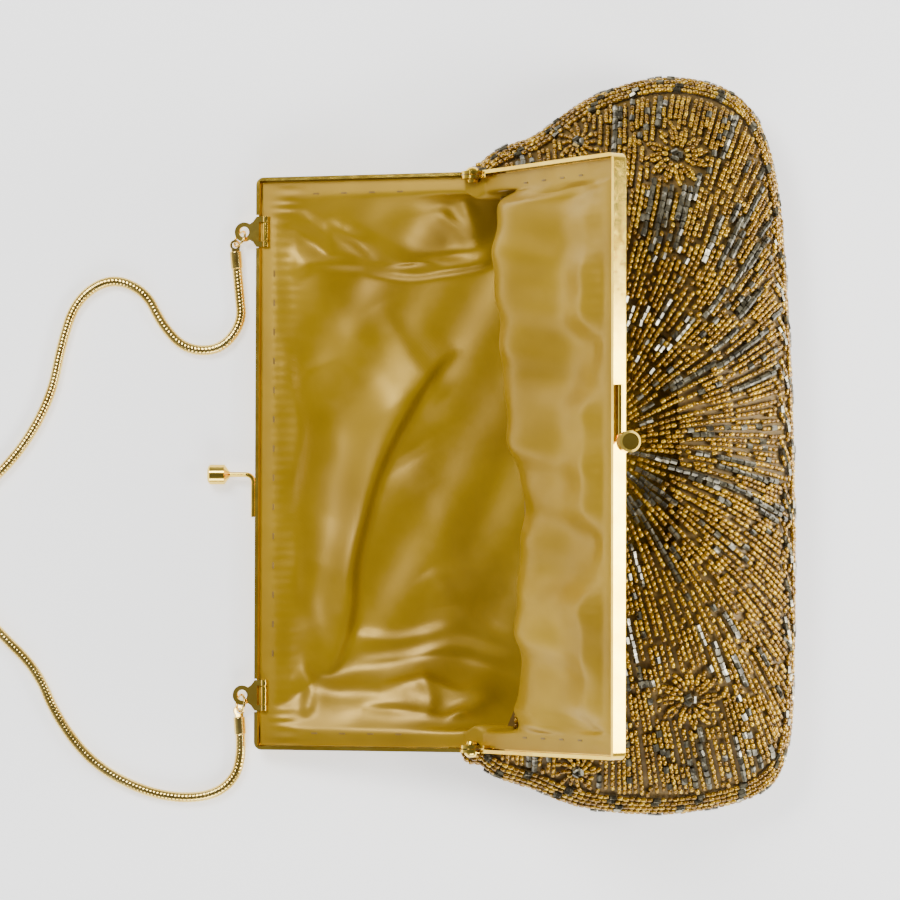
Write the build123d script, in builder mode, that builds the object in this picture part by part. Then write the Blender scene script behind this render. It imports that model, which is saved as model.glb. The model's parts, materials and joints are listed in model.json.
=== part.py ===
from build123d import *

import os
from math import cos, pi, radians, sin, sqrt, tan

# An evening bag lying open on its back: a two-part riveted metal frame with a kiss clasp,
# a beaded cloth pouch with a satin lining, and a snake chain on two folding tabs.
# Millimetres, +Z up, resting on Z = 0. The mouth of the bag points to -X and its bottom to
# +X. The origin is below the centre of the bag's bounding box, leaving out the chain.

# ---------------------------------------------------------------- driving dimensions
HINGE = Vector(-8.72, -5.73, 25.8)  # middle of the hinge axis, which runs along Y
BACK_SLOPE = 16.0  # the back frame half falls this much below level, towards -X
FRONT_RISE = 54.0  # the front frame half stands this much above level, towards +X

FRAME_WIDTH = 180.0  # over both legs
FRAME_REACH = 71.0  # hinge axis to the outer face of the top bar
FRAME_DEPTH = 5.0  # one half, from the meeting plane to the face
MEETING_GAP = 0.16  # each half stops this far short of the meeting plane
WALL = 1.1  # perimeter wall
FLANGE_WIDTH = 4.0
FLANGE_THICK = 0.8
CORNER = 2.4
EDGE_ROUND = 0.3
LEG_START = 5.0  # where the channel begins, measured from the hinge axis

RAIL_INSET = 1.3  # from the perimeter face to the edge of the sewing rail
RAIL_THICK = 0.7
RAIL_WIDTH = 5.4
RAIL_START = 8.6
SEW_HOLE = 0.5  # radius
SEW_PITCH = 9.2
SEW_INSET = 5.3  # from the perimeter face to the row of holes
STITCH = (2.0, 0.5, 0.3)  # length, width and thickness

EAR_RADIUS = 3.6
EAR_THICK = 1.0
EAR_GAP = 0.35  # between the ears of the two halves
EAR_LINK = 3.2  # width of the strip from ear to leg
EAR_LAP = 1.5  # the strip runs this far along its leg
RIVET = 1.2  # radius
RIVET_PLAY = 0.06
RIVET_HEAD = (2.2, 1.4)  # radius and height of the dome
RIVET_TAIL = (1.9, 0.8)  # radius and height of the peened end

KNOB_RADIUS = 3.2
KNOB_SIDE = 3.6  # each clasp knob stands this far to one side of the middle
KNOB_START, KNOB_FULL, KNOB_END = 7.4, 9.1, 14.4  # distances from the foot of the arm
KNOB_CHAMFER = 0.7
ARM_RADIUS = 0.8
ARM_BEND = 2.4
BACK_FOOT, FRONT_FOOT = 17.0, 21.0  # how far from the middle each foot reaches
ARM_DEPTH = 1.9  # centre of the foot, from the meeting plane
SOLDER = (1.0, 0.3)  # width and height of the solder bed under the foot
BACK_LEAN, FRONT_LEAN = 13.6, 26.0  # each arm leans over its own half's meeting plane

TAB_SIDE = 73.0  # each chain tab stands this far to one side of the middle
TAB_THICK = 1.0
TAB_WIDTH = 9.6
TAB_DEPTH = 1.75  # middle of the plate, from the meeting plane
TAB_PIVOT = 2.8  # pivot pin's centre, in from the perimeter face
TAB_KNUCKLE = 1.05  # radius
TAB_PIN = 0.5  # radius
TAB_PLAY = 0.06
TAB_SHOULDER = 1.4  # the plate goes this far past the bar at full width
TAB_NECK = 2.6
EYE_OUT = 4.4  # eye's centre, out from the perimeter face
EYE_RADIUS, EYE_HOLE = 3.1, 1.7
KEEPER_LENGTH = 5.4
NOTCH_WIDTH, NOTCH_DEPTH = 10.4, 2.6

CLOTH = 1.8  # beaded cloth with its beads
LINING = 0.8
SKIN_GAP = 0.3  # between cloth and lining
BODY_TOP = 40.0
SEAM_Z = 15.0
SEAM_HALF, SEAM_PROUD = 0.9, 1.3
MOUTH_X = 8.0  # the tray runs into the pouch as far as this, from the hinge axis
TRAY_INSET = 4.2  # outside of the tray, in from the perimeter face
TRAY_START = 9.6  # first of the panel on the front half, from the hinge axis
FRONT_CLEAR = 7.2  # the pouch is trimmed this far below the front half's meeting plane
FRAME_CLEAR = 93.0  # half width of that trim

CHAIN_RADIUS = 1.65
CHAIN_Z = 1.7
CAP_RADIUS, CAP_LENGTH, CAP_Z = 1.9, 5.6, 2.2
LUG_THICK, LUG_RADIUS, LUG_HOLE = 0.9, 1.7, 1.0
RING_REACH = 5.2  # between the two holes that a jump ring joins
UPPER_RING, LOWER_RING = (-0.60, -0.80), (-0.24, -0.97)  # directions from eye to cap
RING_WIRE = 0.4  # radius
RING_TILT = 58.0

# Plan of the pouch at its seam, from the hinge axis, going round from the mouth.
PLAN = [
    (-4, 74), (4, 94), (20, 102), (38, 114), (62, 120), (84, 113), (94, 90), (98, 45),
    (99.8, -10), (99.8, -60), (98, -88), (90, -101.5), (66, -108), (38, -107), (20, -101),
    (4, -94), (-4, -74),
]  # fmt: skip
PLAN_CENTRE = (48.0, 6.0)
PLAN_HALF = 105.0
# Height and scale of the plan at each level of the pouch's outside.
LEVELS = [
    (0, 0.87), (3, 0.935), (8, 0.98), (SEAM_Z, 1.0), (20, 0.955), (26, 0.87), (32, 0.75),
    (37, 0.60), (BODY_TOP, 0.44),
]  # fmt: skip

# Route of the chain from the upper cap to the lower one: the points, from the hinge axis,
# that its centre line is drawn towards.
CHAIN_ROUTE = [
    (-73.6, 53.6), (-72.6, 44.4), (-79.4, 35.7), (-90.4, 35.7), (-98.0, 43.6), (-103.2, 54.4),
    (-114.5, 58.8), (-125.3, 51.6), (-129.8, 37.5), (-133.0, 20.5), (-142.5, 3.5),
    (-155.5, -9.5), (-163.5, -24.0), (-160.0, -40.5), (-149.5, -53.0), (-137.0, -65.0),
    (-130.5, -80.5), (-119.0, -95.0), (-103.0, -103.5), (-88.5, -105.8), (-77.5, -103.0),
    (-72.0, -94.4),
]  # fmt: skip

os.makedirs("parts", exist_ok=True)

# ---------------------------------------------------------------- planes and profiles
# Each frame half is drawn in a plane through the hinge axis: x runs along the legs to the
# bar, y along the hinge axis, and z is the depth, away from the other half.
back_plane = Plane(
    origin=HINGE,
    x_dir=(-cos(radians(BACK_SLOPE)), 0, -sin(radians(BACK_SLOPE))),
    z_dir=(sin(radians(BACK_SLOPE)), 0, -cos(radians(BACK_SLOPE))),
)
front_plane = Plane(
    origin=HINGE,
    x_dir=(cos(radians(FRONT_RISE)), 0, sin(radians(FRONT_RISE))),
    z_dir=(sin(radians(FRONT_RISE)), 0, -cos(radians(FRONT_RISE))),
)
SIDES = (1, -1)
HALF_WIDTH = FRAME_WIDTH / 2
RAIL_TOP = FRAME_DEPTH - FLANGE_THICK - RAIL_THICK  # depth of the rail's sewing face
LINING_TOP = RAIL_TOP - LINING
OUTER_EAR = HALF_WIDTH - EAR_THICK / 2
INNER_EAR = OUTER_EAR - EAR_THICK - EAR_GAP
ARM_OUT = FRAME_REACH + SOLDER[1] + ARM_RADIUS
TAB_X = FRAME_REACH - TAB_PIVOT


def u_band(inset, width, start):
    """A band round three sides of a half, open towards the hinge."""
    reach = FRAME_REACH - inset
    half = HALF_WIDTH - inset
    with BuildSketch(Plane.XY, mode=Mode.PRIVATE) as band:
        with Locations((start, 0)):
            Rectangle(reach - start, 2 * half, align=(Align.MIN, Align.CENTER))
        if inset < CORNER:
            fillet(band.vertices().group_by(Axis.X)[-1], CORNER - inset)
        with Locations((start, 0)):
            Rectangle(
                reach - width - start,
                2 * (half - width),
                align=(Align.MIN, Align.CENTER),
                mode=Mode.SUBTRACT,
            )
    return band.sketch


def panel(inset, start):
    """The flat area inside a half's three sides."""
    with BuildSketch(Plane.XY, mode=Mode.PRIVATE) as sheet:
        with Locations((start, 0)):
            Rectangle(
                FRAME_REACH - inset - start,
                2 * (HALF_WIDTH - inset),
                align=(Align.MIN, Align.CENTER),
            )
    return sheet.sketch


def section_plane(plane, y):
    """A plane square to the hinge axis at y: its x runs along the legs, its y is the depth."""
    centre = plane.from_local_coords((0, y, 0))
    return Plane(origin=centre, x_dir=plane.x_dir, z_dir=-plane.y_dir)


def sew_rows():
    """Sewing holes round a half: those along the bar, and those along the legs."""
    row_x = FRAME_REACH - SEW_INSET
    count = int((HALF_WIDTH - SEW_INSET - 2) / SEW_PITCH)
    bar = [(row_x, n * SEW_PITCH) for n in range(-count, count + 1)]
    leg_count = int((row_x - RAIL_START - 2) / SEW_PITCH)
    legs = [
        (row_x - n * SEW_PITCH, side * (HALF_WIDTH - SEW_INSET))
        for n in range(1, leg_count + 1)
        for side in SIDES
    ]
    return bar, legs


def tab_openings(width, start, end):
    """Rectangles where the chain tabs cross a half's rim, between two distances inwards."""
    with BuildSketch(Plane.XY, mode=Mode.PRIVATE) as openings:
        with Locations(*[(FRAME_REACH - start, side * TAB_SIDE) for side in SIDES]):
            Rectangle(end - start, width, align=(Align.MAX, Align.CENTER))
    return openings.sketch


def ear_profile(hole):
    """An ear with its rivet hole and the strip that joins it to its leg."""
    with BuildSketch(Plane.XY, mode=Mode.PRIVATE) as ear:
        Circle(EAR_RADIUS)
        with Locations((0, MEETING_GAP)):
            Rectangle(LEG_START + EAR_LAP, EAR_LINK - MEETING_GAP, align=(Align.MIN, Align.MIN))
        Circle(hole, mode=Mode.SUBTRACT)
    return ear.sketch


def on_rim(plane, edge):
    """Whether an edge lies along the outside of a half."""
    middle = plane.to_local_coords(edge.center())
    return middle.X > FRAME_REACH - CORNER / 2 or abs(middle.Y) > HALF_WIDTH - WALL / 2


def plan_outline(scale, shrink):
    """The pouch's plan at one level, drawn in towards its centre."""
    factor = scale * (1 - shrink / PLAN_HALF)
    centre_x, centre_y = PLAN_CENTRE
    points = [(centre_x + (x - centre_x) * factor, centre_y + (y - centre_y) * factor) for x, y in PLAN]
    with BuildSketch(Plane.XY, mode=Mode.PRIVATE) as outline:
        with BuildLine():
            Spline(*points, periodic=True)
        make_face()
    return outline.sketch


def mouth_area(half):
    """Where the back half's tray runs into the pouch, this far to either side."""
    with BuildSketch(Plane.XY, mode=Mode.PRIVATE) as area:
        with Locations((MOUTH_X, 0)):
            Rectangle(200, 2 * half, align=(Align.MAX, Align.CENTER))
    return area.sketch


def tray_area(inset, end):
    """Plan of the tray, from inside the bar to a distance past the hinge."""
    slope = radians(BACK_SLOPE)
    start = FRAME_DEPTH * sin(slope) - (FRAME_REACH - inset) * cos(slope)
    with BuildSketch(Plane.XY, mode=Mode.PRIVATE) as area:
        with Locations((start, 0)):
            Rectangle(end - start, 2 * (HALF_WIDTH - inset), align=(Align.MIN, Align.CENTER))
    return area.sketch


def level_height(z, shrink):
    """Height of a pouch level once the skin outside it, shrink thick, is taken off."""
    return z + shrink * (1 - 2 * z / BODY_TOP)


def bend_radii(points):
    """Radius of each bend of a cord, so that its arcs take up most of the shorter run beside it."""
    radii = []
    for before, corner, after in zip(points, points[1:], points[2:]):
        run_in, run_out = corner - before, after - corner
        half_turn = radians(run_in.get_angle(run_out)) / 2
        radii.append(0.45 * min(run_in.length, run_out.length) / tan(half_turn))
    return radii


BAR_HOLES, LEG_HOLES = sew_rows()
TABLE = Plane(origin=(HINGE.X, HINGE.Y, 0))

# ---------------------------------------------------------------- frame halves
with BuildPart() as back_frame:
    with BuildSketch(back_plane.offset(MEETING_GAP)):
        add(u_band(0, WALL, LEG_START))
    extrude(amount=FRAME_DEPTH - MEETING_GAP)
    with BuildSketch(back_plane.offset(FRAME_DEPTH - FLANGE_THICK)):
        add(u_band(0, FLANGE_WIDTH, LEG_START))
    extrude(amount=FLANGE_THICK)
    outer_face = back_frame.faces().filter_by(back_plane).sort_by(Axis(HINGE, back_plane.z_dir))[-1]
    fillet([e for e in outer_face.edges() if on_rim(back_plane, e)], EDGE_ROUND)
    with BuildSketch(back_plane):
        add(tab_openings(NOTCH_WIDTH, -1, FLANGE_WIDTH))
    extrude(amount=NOTCH_DEPTH, mode=Mode.SUBTRACT)
    for side in SIDES:
        with BuildSketch(section_plane(back_plane, side * OUTER_EAR)):
            add(ear_profile(RIVET))
        extrude(amount=EAR_THICK / 2, both=True)
back_frame.part.label = "back_frame"
export_step(back_frame.part, "parts/back_frame.step")

with BuildPart() as front_frame:
    with BuildSketch(front_plane.offset(MEETING_GAP)):
        add(u_band(0, WALL, LEG_START))
    extrude(amount=FRAME_DEPTH - MEETING_GAP)
    with BuildSketch(front_plane.offset(FRAME_DEPTH - FLANGE_THICK)):
        add(u_band(0, FLANGE_WIDTH, LEG_START))
    extrude(amount=FLANGE_THICK)
    outer_face = front_frame.faces().filter_by(front_plane).sort_by(Axis(HINGE, front_plane.z_dir))[-1]
    fillet([e for e in outer_face.edges() if on_rim(front_plane, e)], EDGE_ROUND)
    jog = HALF_WIDTH - INNER_EAR + EAR_THICK / 2
    for side in SIDES:
        with BuildSketch(section_plane(front_plane, side * INNER_EAR)):
            add(ear_profile(RIVET + RIVET_PLAY))
        extrude(amount=EAR_THICK / 2, both=True)
        with BuildSketch(front_plane.offset(MEETING_GAP)):
            with Locations((LEG_START, side * (HALF_WIDTH - jog / 2))):
                Rectangle(EAR_LAP, jog, align=(Align.MIN, Align.CENTER))
        extrude(amount=EAR_LINK - MEETING_GAP)
front_frame.part.label = "front_frame"
export_step(front_frame.part, "parts/front_frame.step")

# Perforated rails lie on the flanges; the cloth and the lining are sewn through them.
with BuildPart() as back_rail:
    with BuildSketch(back_plane.offset(RAIL_TOP)):
        add(u_band(RAIL_INSET, RAIL_WIDTH, RAIL_START))
        with Locations(*BAR_HOLES, *LEG_HOLES):
            Circle(SEW_HOLE, mode=Mode.SUBTRACT)
    extrude(amount=RAIL_THICK)
back_rail.part.label = "back_rail"
export_step(back_rail.part, "parts/back_rail.step")

with BuildPart() as front_rail:
    with BuildSketch(front_plane.offset(RAIL_TOP)):
        add(u_band(RAIL_INSET, RAIL_WIDTH, RAIL_START))
        with Locations(*BAR_HOLES, *LEG_HOLES):
            Circle(SEW_HOLE, mode=Mode.SUBTRACT)
    extrude(amount=RAIL_THICK)
front_rail.part.label = "front_rail"
export_step(front_rail.part, "parts/front_rail.step")

# Each rivet is fast in the back half's ear and the front half's ear turns on it.
with BuildPart() as hinge_rivets:
    tail_start = INNER_EAR - EAR_THICK / 2 - EAR_GAP
    for side in SIDES:
        with BuildSketch(Plane(origin=HINGE, x_dir=(1, 0, 0), z_dir=(0, 0, 1))):
            with BuildLine():
                Polyline(
                    (RIVET, side * HALF_WIDTH),
                    (RIVET, side * tail_start),
                    (RIVET_TAIL[0], side * tail_start),
                    (RIVET_TAIL[0] - 0.3, side * (tail_start - RIVET_TAIL[1])),
                    (0, side * (tail_start - RIVET_TAIL[1])),
                    (0, side * (HALF_WIDTH + RIVET_HEAD[1])),
                )
                ThreePointArc(
                    (0, side * (HALF_WIDTH + RIVET_HEAD[1])),
                    (RIVET_HEAD[0] * 0.75, side * (HALF_WIDTH + RIVET_HEAD[1] * 0.7)),
                    (RIVET_HEAD[0], side * HALF_WIDTH),
                )
                Line((RIVET_HEAD[0], side * HALF_WIDTH), (RIVET, side * HALF_WIDTH))
            make_face()
        revolve(axis=Axis(HINGE, (0, 1, 0)))
hinge_rivets.part.label = "hinge_rivets"
export_step(hinge_rivets.part, "parts/hinge_rivets.step")

# ---------------------------------------------------------------- kiss clasp
# In each clasp plane x runs out from the bar along the leaning arm and y along the bar.
back_foot_centre = back_plane.from_local_coords((ARM_OUT, 0, ARM_DEPTH))
front_foot_centre = front_plane.from_local_coords((ARM_OUT, 0, ARM_DEPTH))
back_arm_angle = BACK_SLOPE - BACK_LEAN
front_arm_angle = FRONT_RISE + FRONT_LEAN
back_clasp_plane = Plane(
    origin=back_foot_centre,
    x_dir=(-cos(radians(back_arm_angle)), 0, -sin(radians(back_arm_angle))),
    z_dir=(sin(radians(back_arm_angle)), 0, -cos(radians(back_arm_angle))),
)
front_clasp_plane = Plane(
    origin=front_foot_centre,
    x_dir=(cos(radians(front_arm_angle)), 0, sin(radians(front_arm_angle))),
    z_dir=(sin(radians(front_arm_angle)), 0, -cos(radians(front_arm_angle))),
)


def knob_profile():
    """Half section of a knob, about its arm's axis."""
    with BuildSketch(Plane.XY, mode=Mode.PRIVATE) as half:
        with BuildLine():
            Polyline(
                (KNOB_START, -KNOB_SIDE),
                (KNOB_START, -KNOB_SIDE - ARM_RADIUS),
                (KNOB_FULL, -KNOB_SIDE - KNOB_RADIUS),
                (KNOB_END - KNOB_CHAMFER, -KNOB_SIDE - KNOB_RADIUS),
                (KNOB_END, -KNOB_SIDE - KNOB_RADIUS + KNOB_CHAMFER),
                (KNOB_END, -KNOB_SIDE),
                close=True,
            )
        make_face()
    return half.sketch


def solder_bed(foot):
    """Footprint of the solder between a foot and the bar: x is the depth, y runs to the foot's end."""
    with BuildSketch(Plane.XY, mode=Mode.PRIVATE) as bed:
        with Locations((0, (foot + KNOB_SIDE + ARM_BEND) / 2)):
            Rectangle(SOLDER[0], foot - KNOB_SIDE - ARM_BEND)
    return bed.sketch


with BuildPart() as back_clasp_arm:
    with BuildLine(back_clasp_plane):
        FilletPolyline((0, -BACK_FOOT), (0, -KNOB_SIDE), (KNOB_START, -KNOB_SIDE), radius=ARM_BEND)
    with BuildSketch(Plane(origin=back_clasp_plane.from_local_coords((0, -BACK_FOOT, 0)), z_dir=(0, 1, 0))):
        Circle(ARM_RADIUS)
    sweep()
    bed_origin = back_plane.from_local_coords((FRAME_REACH, 0, ARM_DEPTH))
    with BuildSketch(Plane(origin=bed_origin, x_dir=back_plane.z_dir, z_dir=back_plane.x_dir)):
        add(solder_bed(BACK_FOOT))
    extrude(amount=SOLDER[1] + ARM_RADIUS / 2)
back_clasp_arm.part.label = "back_clasp_arm"
export_step(back_clasp_arm.part, "parts/back_clasp_arm.step")

with BuildPart() as front_clasp_arm:
    with BuildLine(front_clasp_plane):
        FilletPolyline((0, -FRONT_FOOT), (0, -KNOB_SIDE), (KNOB_START, -KNOB_SIDE), radius=ARM_BEND)
    foot_end = front_clasp_plane.from_local_coords((0, -FRONT_FOOT, 0))
    with BuildSketch(Plane(origin=foot_end, z_dir=(0, 1, 0))):
        Circle(ARM_RADIUS)
    sweep()
    bed_origin = front_plane.from_local_coords((FRAME_REACH, 0, ARM_DEPTH))
    with BuildSketch(Plane(origin=bed_origin, x_dir=front_plane.z_dir, z_dir=front_plane.x_dir)):
        add(solder_bed(FRONT_FOOT))
    extrude(amount=SOLDER[1] + ARM_RADIUS / 2)
front_clasp_arm.part.label = "front_clasp_arm"
export_step(front_clasp_arm.part, "parts/front_clasp_arm.step")

with BuildPart() as back_clasp_knob:
    with BuildSketch(back_clasp_plane):
        add(knob_profile())
    knob_axis = Axis(back_clasp_plane.from_local_coords((0, -KNOB_SIDE, 0)), back_clasp_plane.x_dir)
    revolve(axis=knob_axis)
back_clasp_knob.part.label = "back_clasp_knob"
export_step(back_clasp_knob.part, "parts/back_clasp_knob.step")

with BuildPart() as front_clasp_knob:
    with BuildSketch(front_clasp_plane):
        add(knob_profile())
    knob_axis = Axis(front_clasp_plane.from_local_coords((0, -KNOB_SIDE, 0)), front_clasp_plane.x_dir)
    revolve(axis=knob_axis)
front_clasp_knob.part.label = "front_clasp_knob"
export_step(front_clasp_knob.part, "parts/front_clasp_knob.step")

# ---------------------------------------------------------------- chain tabs and their pivots
# A keeper on the rail holds each pivot pin; the tab's two knuckles turn on the pin.
UPPER, LOWER = TAB_SIDE, -TAB_SIDE
tab_plane = back_plane.offset(TAB_DEPTH)
KNUCKLE_WIDTH = (TAB_WIDTH - KEEPER_LENGTH - 0.7) / 2


def keeper_profile():
    """A keeper seen along its pin: a round eye on a foot that stands on the rail."""
    with BuildSketch(Plane.XY, mode=Mode.PRIVATE) as keeper:
        with Locations((TAB_X, TAB_DEPTH)):
            Circle(TAB_KNUCKLE)
            Rectangle(2 * TAB_KNUCKLE, RAIL_TOP - TAB_DEPTH, align=(Align.CENTER, Align.MIN))
            Circle(TAB_PIN, mode=Mode.SUBTRACT)
    return keeper.sketch


def tab_outline():
    """A tab's plate from above, with its window, neck and eye: x from the pin, y along it."""
    shoulder = TAB_PIVOT + TAB_SHOULDER
    eye_x = TAB_PIVOT + EYE_OUT
    with BuildSketch(Plane.XY, mode=Mode.PRIVATE) as plate:
        with BuildLine():
            Polyline(
                (0, TAB_WIDTH / 2),
                (shoulder - 1.2, TAB_WIDTH / 2),
                (shoulder, TAB_WIDTH / 2 - 1.6),
                (eye_x, TAB_NECK / 2),
                (eye_x, -TAB_NECK / 2),
                (shoulder, -TAB_WIDTH / 2 + 1.6),
                (shoulder - 1.2, -TAB_WIDTH / 2),
                (0, -TAB_WIDTH / 2),
                close=True,
            )
        make_face()
        with Locations((eye_x, 0)):
            Circle(EYE_RADIUS)
            Circle(EYE_HOLE, mode=Mode.SUBTRACT)
        window = TAB_WIDTH - 2 * KNUCKLE_WIDTH
        Rectangle(TAB_PIVOT - 0.6, window, align=(Align.MIN, Align.CENTER), mode=Mode.SUBTRACT)
    return plate.sketch


def tab_part(side):
    """One tab: two knuckles on the pin, the plate and the eye."""
    with BuildPart(mode=Mode.PRIVATE) as tab:
        with BuildSketch(section_plane(back_plane, side)):
            with Locations((TAB_X, TAB_DEPTH)):
                Circle(TAB_KNUCKLE)
        extrude(amount=TAB_WIDTH / 2, both=True)
        pin_centre = back_plane.from_local_coords((TAB_X, side, TAB_DEPTH - TAB_THICK / 2))
        with BuildSketch(Plane(origin=pin_centre, x_dir=back_plane.x_dir, z_dir=back_plane.z_dir)):
            add(tab_outline())
        extrude(amount=TAB_THICK)
        with BuildSketch(section_plane(back_plane, side)):
            with Locations((TAB_X, TAB_DEPTH)):
                Circle(TAB_KNUCKLE + 0.35)
        extrude(amount=KEEPER_LENGTH / 2 + 0.35, both=True, mode=Mode.SUBTRACT)
        with BuildSketch(section_plane(back_plane, side)):
            with Locations((TAB_X, TAB_DEPTH)):
                Circle(TAB_PIN + TAB_PLAY)
        extrude(amount=TAB_WIDTH, both=True, mode=Mode.SUBTRACT)
    return tab.part


with BuildPart() as tab_keeper_upper:
    with BuildSketch(section_plane(back_plane, UPPER)):
        add(keeper_profile())
    extrude(amount=KEEPER_LENGTH / 2, both=True)
tab_keeper_upper.part.label = "tab_keeper_upper"
export_step(tab_keeper_upper.part, "parts/tab_keeper_upper.step")

with BuildPart() as tab_keeper_lower:
    with BuildSketch(section_plane(back_plane, LOWER)):
        add(keeper_profile())
    extrude(amount=KEEPER_LENGTH / 2, both=True)
tab_keeper_lower.part.label = "tab_keeper_lower"
export_step(tab_keeper_lower.part, "parts/tab_keeper_lower.step")

with BuildPart() as tab_pins:
    for side in (UPPER, LOWER):
        with BuildSketch(section_plane(back_plane, side)):
            with Locations((TAB_X, TAB_DEPTH)):
                Circle(TAB_PIN)
        extrude(amount=TAB_WIDTH / 2, both=True)
tab_pins.part.label = "tab_pins"
export_step(tab_pins.part, "parts/tab_pins.step")

with BuildPart() as chain_tab_upper:
    add(tab_part(UPPER))
chain_tab_upper.part.label = "chain_tab_upper"
export_step(chain_tab_upper.part, "parts/chain_tab_upper.step")

with BuildPart() as chain_tab_lower:
    add(tab_part(LOWER))
chain_tab_lower.part.label = "chain_tab_lower"
export_step(chain_tab_lower.part, "parts/chain_tab_lower.step")

# ---------------------------------------------------------------- jump rings, caps and chain
EYE_X = FRAME_REACH + EYE_OUT
upper_eye = back_plane.from_local_coords((EYE_X, UPPER, TAB_DEPTH))
lower_eye = back_plane.from_local_coords((EYE_X, LOWER, TAB_DEPTH))


def lug_centre(eye, direction):
    """Centre of the hole in a cap's lug, one ring's reach from the tab's eye."""
    flat = Vector(direction[0], direction[1], 0).normalized()
    drop = CAP_Z - eye.Z
    return eye + flat * sqrt(RING_REACH**2 - drop**2) + Vector(0, 0, drop)


def ring_plane(eye, lug):
    """Plane of a jump ring that joins an eye to a lug, tilted about the line between them."""
    along = (lug - eye).normalized()
    level = Vector(-along.Y, along.X, 0).normalized()
    upright = along.cross(level).normalized()
    if upright.Z < 0:
        upright = -upright
    tilted = level * cos(radians(RING_TILT)) + upright * sin(radians(RING_TILT))
    return Plane(origin=(eye + lug) / 2, x_dir=along, z_dir=along.cross(tilted))


def cap_plane(lug, towards, ring):
    """Plane along a cap: x runs from the lug to the chain's next point, z is the lug's flat side."""
    along = (towards - lug).normalized()
    flat = ring.y_dir - along * ring.y_dir.dot(along)
    return Plane(origin=lug, x_dir=along, z_dir=flat.normalized())


chain_turns = [Vector(HINGE.X + x, HINGE.Y + y, CHAIN_Z) for x, y in CHAIN_ROUTE]
upper_lug = lug_centre(upper_eye, UPPER_RING)
lower_lug = lug_centre(lower_eye, LOWER_RING)
upper_ring_plane = ring_plane(upper_eye, upper_lug)
lower_ring_plane = ring_plane(lower_eye, lower_lug)
upper_cap_plane = cap_plane(upper_lug, chain_turns[0], upper_ring_plane)
lower_cap_plane = cap_plane(lower_lug, chain_turns[-1], lower_ring_plane)


def ring_part(plane):
    """A jump ring in its plane, passing through both holes on the plane's x axis."""
    with BuildPart(plane, mode=Mode.PRIVATE) as ring:
        Torus(RING_REACH / 2, RING_WIRE)
    return ring.part


def cap_part(plane):
    """A cap: a flat lug with a hole, a neck and the cup that the chain is fixed in."""
    with BuildPart(mode=Mode.PRIVATE) as cap:
        with BuildSketch(plane.offset(-LUG_THICK / 2)):
            Circle(LUG_RADIUS)
            with Locations((0, 0)):
                Rectangle(LUG_RADIUS + 0.8, 2 * LUG_HOLE + 0.6, align=(Align.MIN, Align.CENTER))
            Circle(LUG_HOLE, mode=Mode.SUBTRACT)
        extrude(amount=LUG_THICK)
        cup_origin = plane.from_local_coords((LUG_RADIUS + 0.2, 0, 0))
        with BuildSketch(Plane(origin=cup_origin, x_dir=plane.z_dir, z_dir=plane.x_dir)):
            Circle(CAP_RADIUS)
        extrude(amount=CAP_LENGTH)
        edges = cap.edges().filter_by(GeomType.CIRCLE).sort_by(SortBy.RADIUS)[-2:]
        fillet(edges, 0.4)
    return cap.part


with BuildPart() as jump_rings:
    add(ring_part(upper_ring_plane))
    add(ring_part(lower_ring_plane))
jump_rings.part.label = "jump_rings"
export_step(jump_rings.part, "parts/jump_rings.step")

with BuildPart() as chain_cap_upper:
    add(cap_part(upper_cap_plane))
chain_cap_upper.part.label = "chain_cap_upper"
export_step(chain_cap_upper.part, "parts/chain_cap_upper.step")

with BuildPart() as chain_cap_lower:
    add(cap_part(lower_cap_plane))
chain_cap_lower.part.label = "chain_cap_lower"
export_step(chain_cap_lower.part, "parts/chain_cap_lower.step")

with BuildPart() as snake_chain:
    cap_end = (LUG_RADIUS + 0.2 + CAP_LENGTH, 0, 0)
    chain_points = [
        upper_cap_plane.from_local_coords(cap_end),
        *chain_turns,
        lower_cap_plane.from_local_coords(cap_end),
    ]
    chain_radii = bend_radii(chain_points)
    with BuildLine() as chain_line:
        FilletPolyline(*chain_points, radius=chain_radii)
    with BuildSketch(Plane(origin=chain_points[0], z_dir=upper_cap_plane.x_dir)):
        Circle(CHAIN_RADIUS)
    sweep()
snake_chain.part.label = "snake_chain"
export_step(snake_chain.part, "parts/snake_chain.step")
chain_length = sum(edge.length for edge in chain_line.edges())
print(f"snake chain {chain_length:.1f} long, smallest bend radius {min(chain_radii):.1f}")
print("snake chain points", [tuple(round(v, 2) for v in p) for p in chain_points])
print(f"snake chain volume {snake_chain.part.volume:.0f} against {chain_length * pi * CHAIN_RADIUS**2:.0f}")
print(f"chain bend radii {[round(r, 1) for r in chain_radii]}")

# ---------------------------------------------------------------- beaded cloth
with BuildPart() as pouch:
    for z, scale in LEVELS:
        with BuildSketch(TABLE.offset(z)):
            add(plan_outline(scale, 0))
    loft(ruled=True)
    for z, scale in LEVELS:
        with BuildSketch(TABLE.offset(level_height(z, CLOTH))):
            add(plan_outline(scale, CLOTH))
    loft(ruled=True, mode=Mode.SUBTRACT)
    with BuildSketch(TABLE):
        add(mouth_area(HALF_WIDTH - TRAY_INSET))
    extrude(amount=BODY_TOP, mode=Mode.SUBTRACT)
    with BuildSketch(front_plane.offset(FRONT_CLEAR)):
        Rectangle(300, 2 * FRAME_CLEAR)
    extrude(amount=-200, mode=Mode.SUBTRACT)
pouch.part.label = "pouch"
export_step(pouch.part, "parts/pouch.step")

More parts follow.
